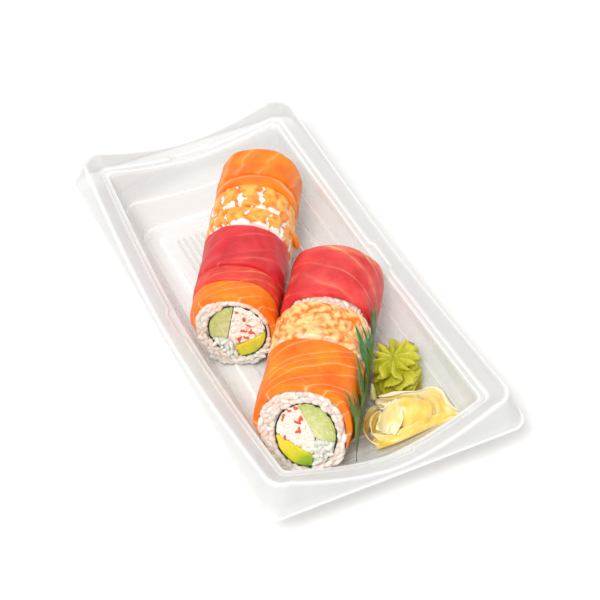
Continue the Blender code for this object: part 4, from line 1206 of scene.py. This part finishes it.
SLICE_FOLD = (
    ((17.8, -74.0, 10.0), (20.8, -76.3, 14.0), (24.2, -79.8, 17.0), (28.1, -82.6, 16.0),
     (31.9, -84.7, 13.0), (33.4, -87.5, 10.0)),
    ((14.0, -79.3, 12.0), (17.2, -82.3, 18.5), (21.7, -84.5, 20.3), (26.0, -87.2, 19.0),
     (29.8, -89.3, 15.5), (32.1, -90.7, 10.0)),
    ((11.5, -83.4, 11.0), (14.9, -85.9, 17.5), (19.2, -88.4, 19.8), (23.7, -90.8, 18.0),
     (27.3, -92.3, 14.0), (30.2, -92.6, 9.0)),
    ((10.0, -87.3, 8.0), (13.4, -88.9, 13.0), (17.3, -91.4, 15.5), (21.8, -92.7, 14.0),
     (25.7, -93.6, 11.0), (28.8, -93.4, 8.0)),
    ((10.2, -90.7, 5.0), (13.1, -91.5, 7.5), (16.9, -92.3, 9.0), (21.2, -93.2, 9.0), (25.0, -93.4, 8.0),
     (27.7, -93.8, 7.0)),
)
SLICE_FLAP = (
    ((12.5, -81.3, 18.5), (14.9, -81.2, 19.8), (17.4, -81.9, 20.5), (20.1, -83.0, 20.8)),
    ((9.3, -82.9, 16.0), (11.9, -84.3, 18.0), (14.5, -86.6, 19.0), (16.3, -89.5, 19.2)),
    ((6.5, -84.7, 13.5), (9.0, -87.3, 15.5), (12.0, -89.7, 16.5), (14.8, -92.4, 16.5)),
    ((4.2, -85.6, 10.5), (6.1, -89.4, 11.5), (8.1, -92.7, 12.0), (10.2, -95.1, 11.5)),
)
SLICE_LOWER = (
    ((6.4, -85.0, 10.0), (9.0, -90.1, 12.0), (14.7, -92.0, 13.0), (23.3, -91.7, 13.5),
     (31.4, -91.9, 13.5), (36.5, -93.0, 14.0), (40.1, -95.2, 15.0)),
    ((3.3, -86.5, 8.0), (6.7, -91.9, 10.0), (12.8, -94.6, 11.5), (22.1, -94.0, 12.0),
     (30.2, -94.1, 12.5), (35.6, -94.6, 13.5), (40.5, -96.2, 14.5)),
    ((2.3, -88.0, 5.5), (5.1, -93.3, 6.5), (11.9, -95.7, 8.0), (21.9, -94.7, 7.4), (29.6, -94.5, 8.8),
     (35.5, -95.1, 11.5), (41.3, -95.7, 13.0)),
    ((3.2, -89.7, 2.6), (5.2, -94.0, 2.6), (11.7, -95.3, 2.6), (21.5, -93.8, 2.6), (29.4, -94.3, 4.4),
     (35.0, -94.3, 7.4), (40.8, -95.0, 10.4)),
)
SLICE_BASE = (
    ((16.8, -76.9, 6.0), (24.1, -76.6, 7.0), (31.7, -76.2, 8.0), (37.4, -80.1, 9.0)),
    ((11.0, -76.3, 6.0), (17.6, -79.1, 10.0), (26.1, -83.0, 11.0), (35.7, -87.7, 11.0)),
    ((6.2, -79.8, 5.5), (12.9, -86.3, 10.0), (22.6, -89.5, 11.0), (34.2, -92.2, 10.5)),
    ((4.1, -86.9, 3.5), (10.9, -91.2, 4.5), (20.1, -92.8, 6.0), (31.8, -94.1, 8.5)),
)
CURL_OUTER = (
    ((11.1, -74.7, 12.0), (6.8, -75.7, 12.0), (2.9, -79.2, 11.0), (0.8, -83.6, 9.5), (1.0, -88.3, 8.5),
     (4.3, -92.0, 8.0), (8.1, -93.8, 8.0)),
    ((12.4, -74.2, 9.0), (7.9, -75.9, 9.0), (4.5, -78.9, 8.0), (2.6, -82.8, 6.5), (2.7, -86.9, 5.5),
     (5.4, -90.8, 5.0), (8.9, -93.2, 5.0)),
    ((13.3, -74.2, 6.0), (9.0, -76.6, 6.0), (6.0, -79.2, 5.0), (3.9, -82.9, 4.0), (4.0, -86.6, 3.2),
     (6.2, -91.2, 3.0), (9.4, -93.3, 3.0)),
)
CURL_INNER = (
    ((10.9, -79.8, 14.0), (7.3, -80.0, 13.5), (4.0, -83.1, 12.5), (2.8, -86.6, 11.0), (3.9, -90.0, 10.0),
     (7.1, -92.9, 9.5)),
    ((12.2, -79.3, 11.0), (8.4, -80.1, 10.5), (5.6, -82.8, 9.5), (4.6, -85.9, 8.0), (5.4, -89.0, 7.0),
     (8.2, -91.8, 6.5)),
    ((13.1, -79.3, 8.0), (9.5, -80.9, 7.5), (7.1, -83.1, 6.5), (6.0, -86.0, 5.5), (6.6, -88.5, 4.5),
     (8.8, -91.6, 4.0)),
)
SCRAP = (
    ((13.6, -62.0, 12.0), (15.0, -62.4, 12.5), (16.0, -63.4, 12.0)),
    ((12.9, -64.1, 9.0), (14.0, -65.4, 10.0), (15.6, -65.5, 9.0)),
    ((12.2, -67.4, 7.0), (13.1, -68.9, 8.0), (15.2, -68.3, 7.0)),
)


def spline(values, at):
    """A smooth curve through evenly spaced values (first axis), read at places from 0 to 1."""
    values = np.asarray(values, float)
    padded = np.concatenate([2 * values[:1] - values[1:2], values, 2 * values[-1:] - values[-2:-1]])
    place = np.clip(at, 0, 1) * (len(values) - 1)
    left = np.minimum(place.astype(int), len(values) - 2)
    t = (place - left).reshape((-1,) + (1,) * (values.ndim - 1))
    a, b, c, d = (padded[left + k] for k in range(4))
    return b + 0.5 * t * (c - a + t * (2 * a - 5 * b + 4 * c - d + t * (3 * (b - c) + d - a)))


def build_slice(name, node, grid, thickness, seed, tones, rounding, frill):
    """A ginger slice: a thin sheet through the grid's places, frilled and thin at its edge."""
    even = 2 * np.linspace(0, 1, 52) - 1
    fine = np.linspace(0, 1, 101)
    dense = spline(spline(np.array(grid) * MM, fine).transpose(1, 0, 2), fine).transpose(1, 0, 2)
    a, b = np.meshgrid(even, even, indexing="ij")
    edge = np.maximum(np.abs(a), np.abs(b))
    wander = ripples(seed, 6, 0.5, 1.6)
    reach = 1 - 0.05 * np.abs(wander(a, b)) * edge
    across = np.clip(a * np.sqrt(1 - rounding * b * b) * reach, -1, 1)
    along = np.clip(b * np.sqrt(1 - rounding * a * a) * reach, -1, 1)
    i = (across + 1) * 50
    j = (along + 1) * 50
    i0 = np.minimum(i.astype(int), 99)
    j0 = np.minimum(j.astype(int), 99)
    fi = (i - i0)[..., None]
    fj = (j - j0)[..., None]
    middle = (dense[i0, j0] * (1 - fi) * (1 - fj) + dense[i0 + 1, j0] * fi * (1 - fj)
              + dense[i0, j0 + 1] * (1 - fi) * fj + dense[i0 + 1, j0 + 1] * fi * fj)
    normal = np.cross(np.gradient(middle, axis=0), np.gradient(middle, axis=1))
    normal = normal / np.maximum(np.linalg.norm(normal, axis=-1, keepdims=True), 1e-12)
    waves = ripples(seed + 1, 8, 0.25, 0.8)
    folds = ripples(seed + 3, 5, 0.5, 1.2)
    middle = middle + normal * (frill * MM * (waves(a, b) * edge ** 3 + 0.5 * folds(b, a)))[..., None]
    half = thickness / 2 * MM * (0.3 + 0.7 * edge_profile(1 - edge, 0.15))[..., None]
    sides = []
    for way in (1, -1):
        shell = clear_of_divider(middle + way * normal * half, 0.35 * MM)
        sides.append(settle(shell, (0.9 - 0.3 * way * np.sign(normal[..., 2])) * MM))
    if np.mean(normal[..., 2]) < 0:
        sides.reverse()
    vein = ripples(seed + 2, 9, 0.12, 0.5)
    shade = gradient(tones)(0.7 - 0.75 * edge ** 5 + 0.14 * vein(a * 0.3, b) + 0.2 * wander(b, a))
    piece = slab(name, *sides, GINGER, tint=shade)
    if node:
        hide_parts(node)
    return piece


def build_ginger():
    pale = ((252, 240, 206), (250, 232, 182), (248, 222, 150), (242, 206, 112))
    yellow = ((252, 238, 184), (254, 226, 140), (252, 212, 104), (246, 194, 76))
    greenish = ((226, 232, 170), (232, 232, 160), (236, 230, 140))
    return [
        build_slice("ginger_slice_base", "ginger_base", SLICE_BASE, 0.9, 61, yellow, 0.3, 0.9),
        build_slice("ginger_slice_fold", "ginger_fold", SLICE_FOLD, 0.9, 71, yellow, 0.4, 0.6),
        build_slice("ginger_slice_flap", "ginger_crown", SLICE_FLAP, 0.6, 81, pale, 0.25, 0.3),
        build_slice("ginger_slice_back", "ginger_back", SLICE_BACK, 0.7, 91, pale, 0.1, 0.8),
        build_slice("ginger_slice_lower", None, SLICE_LOWER, 0.8, 101, yellow, 0.2, 0.8),
        build_slice("ginger_curl_outer", None, CURL_OUTER, 0.6, 111, yellow, 0.1, 0.4),
        build_slice("ginger_curl_inner", None, CURL_INNER, 0.6, 121, yellow, 0.1, 0.4),
        build_slice("ginger_scrap", None, SCRAP, 0.7, 131, greenish, 0.3, 0.2),
    ]


# Divider blades on the near roll's right flank: places (along the roll, height), half width, how far the tip
# stands off, all in millimetres
DIVIDER_BLADES = (
    (((2.2, 2.6), (2.4, 7.5), (6.0, 10.5), (13.9, 13.6), (23.8, 18.0), (34.0, 22.3), (46.1, 25.3),
      (58.1, 28.4), (69.2, 31.2)), 2.3, 0.0),
    (((22.0, 11.5), (30.0, 16.5), (40.0, 21.5), (50.0, 24.6), (60.0, 27.6), (66.0, 29.6)), 1.9, 0.2),
    (((37.4, 20.6), (39.6, 32.6), (46.8, 38.2)), 1.55, 0.5),
    (((42.7, 20.2), (43.0, 28.2), (49.6, 36.6)), 1.25, 0.3),
    (((45.7, 19.6), (45.2, 26.5), (50.6, 33.4)), 1.1, 0.7),
    (((34.4, 20.4), (35.6, 32.0), (41.2, 35.4)), 1.15, 0.4),
    (((52.0, 23.7), (56.5, 29.6), (64.0, 32.8)), 1.0, 0.5),
    (((17.0, 12.2), (20.5, 27.4), (32.0, 35.9)), 1.7, 0.5),
    (((22.4, 13.0), (20.8, 24.3), (25.8, 31.0)), 1.2, 0.8),
    (((14.5, 11.0), (14.0, 22.0), (17.2, 27.6)), 1.1, 0.4),
    (((2.8, 9.2), (3.0, 27.0), (9.3, 36.9)), 1.45, 0.6),
    (((5.4, 10.1), (6.0, 25.7), (12.0, 34.2)), 1.25, 0.4),
    (((8.6, 11.7), (8.6, 23.2), (12.9, 30.6)), 1.1, 0.8),
    (((1.6, 9.6), (-1.0, 22.9), (3.2, 31.4)), 1.1, 0.9),
)


def flank_place(s, v, off):
    """A place off the near roll's right flank, and the way out from it; s and v in metres."""
    upright = {**ROLL_B, "cut_tilt": 0.0}
    lift = np.maximum(v / ROLL_B["half_height"] - 1, 0.0)
    u = ROLL_B["right"] * (1 - np.minimum(lift, 1.0) ** TOP_POWER) ** (1 / TOP_POWER)
    slope_v = lift * 0.9
    slope_u = np.sqrt(1 - slope_v ** 2)
    right, _, up = roll_axes(ROLL_B)
    place = roll_place(upright, u + off * slope_u, v + off * slope_v, s)
    return place, slope_u[..., None] * right + slope_v[..., None] * up


def build_divider():
    """A cut green sheet: a spine up the roll's flank with pointed blades that stand off it at their tips."""
    verts = []
    faces = []
    uv = []
    tints = []
    count = 34
    for number, (path, half_width, tip_off) in enumerate(DIVIDER_BLADES):
        t = np.linspace(0, 1, count)
        line = spline(np.array(path) * MM, t)
        off = DIVIDER_OFF + 0.07 * MM * (number % 4) + 0.2 * MM + tip_off * MM * t ** 2
        middle, out = flank_place(line[:, 0], line[:, 1], off)
        tangent = np.gradient(middle, axis=0)
        side = np.cross(out, tangent)
        side = side / np.maximum(np.linalg.norm(side, axis=-1, keepdims=True), 1e-12)
        if number == 0:
            width = np.interp(t, (0.0, 0.06, 0.2, 0.55, 0.8, 1.0), (0.06, 0.5, 0.85, 1.0, 0.7, 0.03))
        elif number == 1:
            width = np.interp(t, (0.0, 0.2, 0.6, 1.0), (0.3, 1.0, 0.8, 0.05))
        else:
            width = np.interp(t, (0.0, 0.3, 0.6, 0.85, 1.0), (0.55, 1.0, 0.8, 0.4, 0.02))
        width = (width * half_width * 1.45 * MM)[:, None]
        ring = [middle - side * width, middle + out * 0.22 * MM + side * 0.1 * width,
                middle + side * width, middle - out * 0.12 * MM + side * 0.1 * width]
        faces += tube_faces(count, 4, len(verts) * 4 * count)
        verts.append(np.stack(ring, 1).reshape(-1, 3))
        uv.append(np.stack([np.tile((0.0, 0.5, 1.0, 0.5), count) + number, np.repeat(t, 4) * 2 + number], -1))
        # Painted light: each blade is painted in shade at its base and brighter to white at its tip; blades 8,
        # 9, 11 and 12 are darker all along.
        painted_light = gradient(((150, 180, 150), (205, 225, 205), (255, 255, 255)))(0.25 + 0.75 * t)
        painted_light = painted_light * (0.75 if number in (8, 9, 11, 12) else 1.0)
        tints.append(np.repeat(painted_light, 4, axis=0))
    sheet = make_mesh("leaf_blades", np.concatenate(verts), faces, LEAF, np.concatenate(uv),
                      np.concatenate(tints), sharp=25)
    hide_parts("leaf_divider")
    return sheet


# Put together

def build_rolls():
    pieces = []
    for roll in (ROLL_A, ROLL_B):
        pieces += [(piece, "rice") for piece in build_rice(roll)]
        pieces.append((build_nori(roll), "nori"))
        pieces += build_cores(roll)
    plain = flesh_tints()
    near = flesh_tints((1.08, 1.75, 1.0))
    fatty = flesh_tints((1.08, 1.5, 1.2), lambda s, arc: 0.8 * smooth_step(
        (s - 89.6 + 0.03 * arc) / 2.2) * smooth_step((66 - arc) / 25))
    slices = (
        (ROLL_A, "salmon_front", (0.0, 11.4), (-22, 214), SALMON, plain,
         dict(ends=(0.35, 1.4), lines=(5.6, 0.35, -6.0), cross=(6.5, -0.7, -4.0))),
        (ROLL_A, "tuna_front", (11.3, 21.6), (-22, 214), TUNA, near,
         dict(ends=(1.3, 1.5), lines=(6.0, 0.25, 2.0))),
        (ROLL_A, "tuna_back", (21.5, 48.6), (-34, 203), TUNA, plain,
         dict(ends=(1.3, 1.6), lift=0.35, lines=(9.0, 0.35, 3.0))),
        (ROLL_A, "salmon_middle", (76.8, 84.5), (-34, 203), SALMON, plain, dict(lines=(5.2, 0.05, 5.0))),
        (ROLL_A, "salmon_back", (84.5, 103.0), (-34, 203), SOFT_SALMON, plain,
         dict(ends=(1.3, 0.8), lift=0.3, lines=(32.0, 2.4, 14.0), cross=(44.0, 3.0, -30.0))),
        (ROLL_B, "salmon", (0.0, 34.4), (-34, 225), SALMON, plain,
         dict(ends=(0.35, 1.4), lines=(6.8, 0.55, -9.0), cross=(9.0, -0.55, -6.0), front_cut=24)),
        (ROLL_B, "tuna", (62.0, 93.0), (-34, 214), TUNA, fatty,
         dict(ends=(1.2, 0.8), lines=(9.0, -0.35, 6.0))),
    )
    for number, (roll, part, span, sides, material, tints, options) in enumerate(slices):
        piece = build_fish(roll, part, span, sides, 300 + 10 * number, material, tints, **options)
        pieces.append((piece, part.split("_")[0]))
    prawns = (
        (ROLL_A, "shrimp_front", (48.7, 61.3), (-34, 214), 1, 9.6, 0.10),
        (ROLL_A, "shrimp_back", (61.5, 76.8), (-22, 214), 1, 10.2, 0.08),
        (ROLL_B, "shrimp", (34.4, 56.8), (-22, 214), 3, 8.4, None),
    )
    for number, (roll, part, span, sides, rows, cell, white_share) in enumerate(prawns):
        cells = shrimp_cells(rows, span[0], span[1], cell, 400 + number)
        if white_share:
            tints = shrimp_tints(cells, 430 + number, white_share)
        else:
            tints = pale_shrimp_tints(cells, 430 + number)
        piece = build_fish(roll, part, span, sides, 410 + 10 * number, SHRIMP, tints, "_meat", ends=(1.6, 1.6),
                           wobble=1.6, wave=0.2, relief=shrimp_relief(cells), step=0.36)
        pieces.append((piece, "shrimp"))
    return pieces


def build_tuna_scrap():
    """The ragged bit of tuna between prawn and tuna on the near roll's right flank."""
    wide, long = 4.4, 20
    p, q = np.meshgrid(np.linspace(0, 1, 14), np.linspace(0, 1, 40), indexing="ij")
    ragged = ripples(77, 6, 4.0, 12.0)
    angle = np.radians(-22 + 56 * q)
    s = (57.2 + wide * p + 0.5 * ragged(q * long, 0 * q)) * MM
    edge = np.minimum(np.minimum(p * wide, (1 - p) * wide), np.minimum(q, 1 - q) * long)
    thick = 1.15 * MM * np.maximum(edge_profile(edge, 1.0), 0.05)
    inset = FISH_INNER - 0.5 * MM
    top = layer(ROLL_B, angle, inset - thick, s)
    under = layer(ROLL_B, angle, inset + 0 * thick, s)
    uv = np.stack([q * 3, p], -1)
    tint = np.tile((0.72, 0.75, 0.8), p.shape + (1,))
    piece = slab("roll_b_tuna_scrap_slice", top, under, TUNA, uv, tint, uv)
    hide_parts("roll_b_tuna_scrap")
    return piece


TAIL_PATH = ((15.2, 31.6, 33.4), (17.2, 29.2, 30.0), (18.5, 27.6, 26.0), (19.7, 26.1, 22.0),
             (20.2, 24.2, 18.2))


def build_prawn_tail():
    """The tail end of a prawn, hanging off the back roll's right flank."""
    rows, columns = 30, 14
    share = np.linspace(0, 1, rows)
    line = spline(np.array(TAIL_PATH) * MM, share)
    tangent = np.gradient(line, axis=0)
    tangent = tangent / np.linalg.norm(tangent, axis=1, keepdims=True)
    side = np.cross(tangent, roll_axes(ROLL_A)[0])
    side = side / np.linalg.norm(side, axis=1, keepdims=True)
    out = np.cross(side, tangent)
    width = np.interp(share, (0.0, 0.1, 0.45, 0.8, 0.95, 1.0), (0.3, 1.9, 2.5, 2.3, 1.7, 0.3)) * MM
    turns = np.linspace(0, 2 * math.pi, columns, endpoint=False)
    ring = side[:, None] * np.cos(turns)[:, None] + 0.75 * out[:, None] * np.sin(turns)[:, None]
    ring = ring * width[:, None, None]
    ridges = 1 + 0.08 * np.sin(turns * 4)[:, None] * np.sin(share * 30)[:, None, None]
    verts = (line[:, None] + ring * ridges).reshape(-1, 3)
    tone = gradient(((250, 232, 212), (255, 176, 80), (255, 132, 20), (250, 112, 12)))(share)
    return make_mesh("roll_a_shrimp_tail", verts, tube_faces(rows, columns), SHRIMP,
                     tint=np.repeat(tone, columns, axis=0))


def add_area(name, place, target, size, power, colour):
    light = bpy.data.lights.new(name, "AREA")
    light.shape = "RECTANGLE"
    light.size, light.size_y = size
    light.energy = power
    light.color = colour
    lamp = bpy.data.objects.new(name, light)
    lamp.location = place
    lamp.rotation_euler = (Vector(target) - Vector(place)).to_track_quat("-Z", "Y").to_euler()
    bpy.context.scene.collection.objects.link(lamp)


def build_studio():
    corners = [(x, y, STUDIO_FLOOR_Z) for x, y in ((-3, -3), (3, -3), (3, 3), (-3, 3))]
    make_mesh("studio_floor", corners, [(0, 1, 2, 3)], pale_floor())
    add_area("key_light", (-0.614, -0.648, 1.204), (0, 0, 0.02), (0.5, 0.5), 14.8, (1.0, 0.985, 0.96))
    add_area("back_light", (0.40, 0.95, 1.05), (0, 0, 0.02), (0.9, 0.35), 1.5, (0.98, 0.99, 1.0))
    world = bpy.data.worlds.new("studio_world")
    world.use_nodes = True
    back = world.node_tree.nodes["Background"]
    back.inputs[0].default_value = (1.0, 0.995, 0.985, 1.0)
    back.inputs[1].default_value = 0.69
    bpy.context.scene.world = world
    view = bpy.context.scene.view_settings
    view.view_transform = "Standard"
    view.look = "None"
    view.exposure = 0.0


def build_camera():
    right = Vector(CAMERA_RIGHT)
    up = Vector(CAMERA_UP)
    back = right.cross(up)
    turn = Matrix((right, up, back)).transposed().to_4x4()
    camera_data = bpy.data.cameras.new("camera")
    camera_data.lens = CAMERA_LENS
    camera_data.sensor_width = 36.0
    camera_data.clip_start = 0.01
    camera = bpy.data.objects.new("camera", camera_data)
    camera.matrix_world = Matrix.Translation(CAMERA_PLACE) @ turn
    bpy.context.scene.collection.objects.link(camera)
    bpy.context.scene.camera = camera


build_camera()
build_studio()
parts = [(build_tray(), "clear_plastic"), (build_floor_ribs(), "clear_plastic")]
parts += build_rolls()
parts.append((build_tuna_scrap(), "tuna"))
parts.append((build_prawn_tail(), "shrimp"))
parts.append((build_wasabi(), "wasabi"))
parts += [(piece, "ginger") for piece in build_ginger()]
parts.append((build_divider(), "green_plastic"))
for piece, slot in parts:
    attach(piece, "root")

bpy.context.view_layer.update()
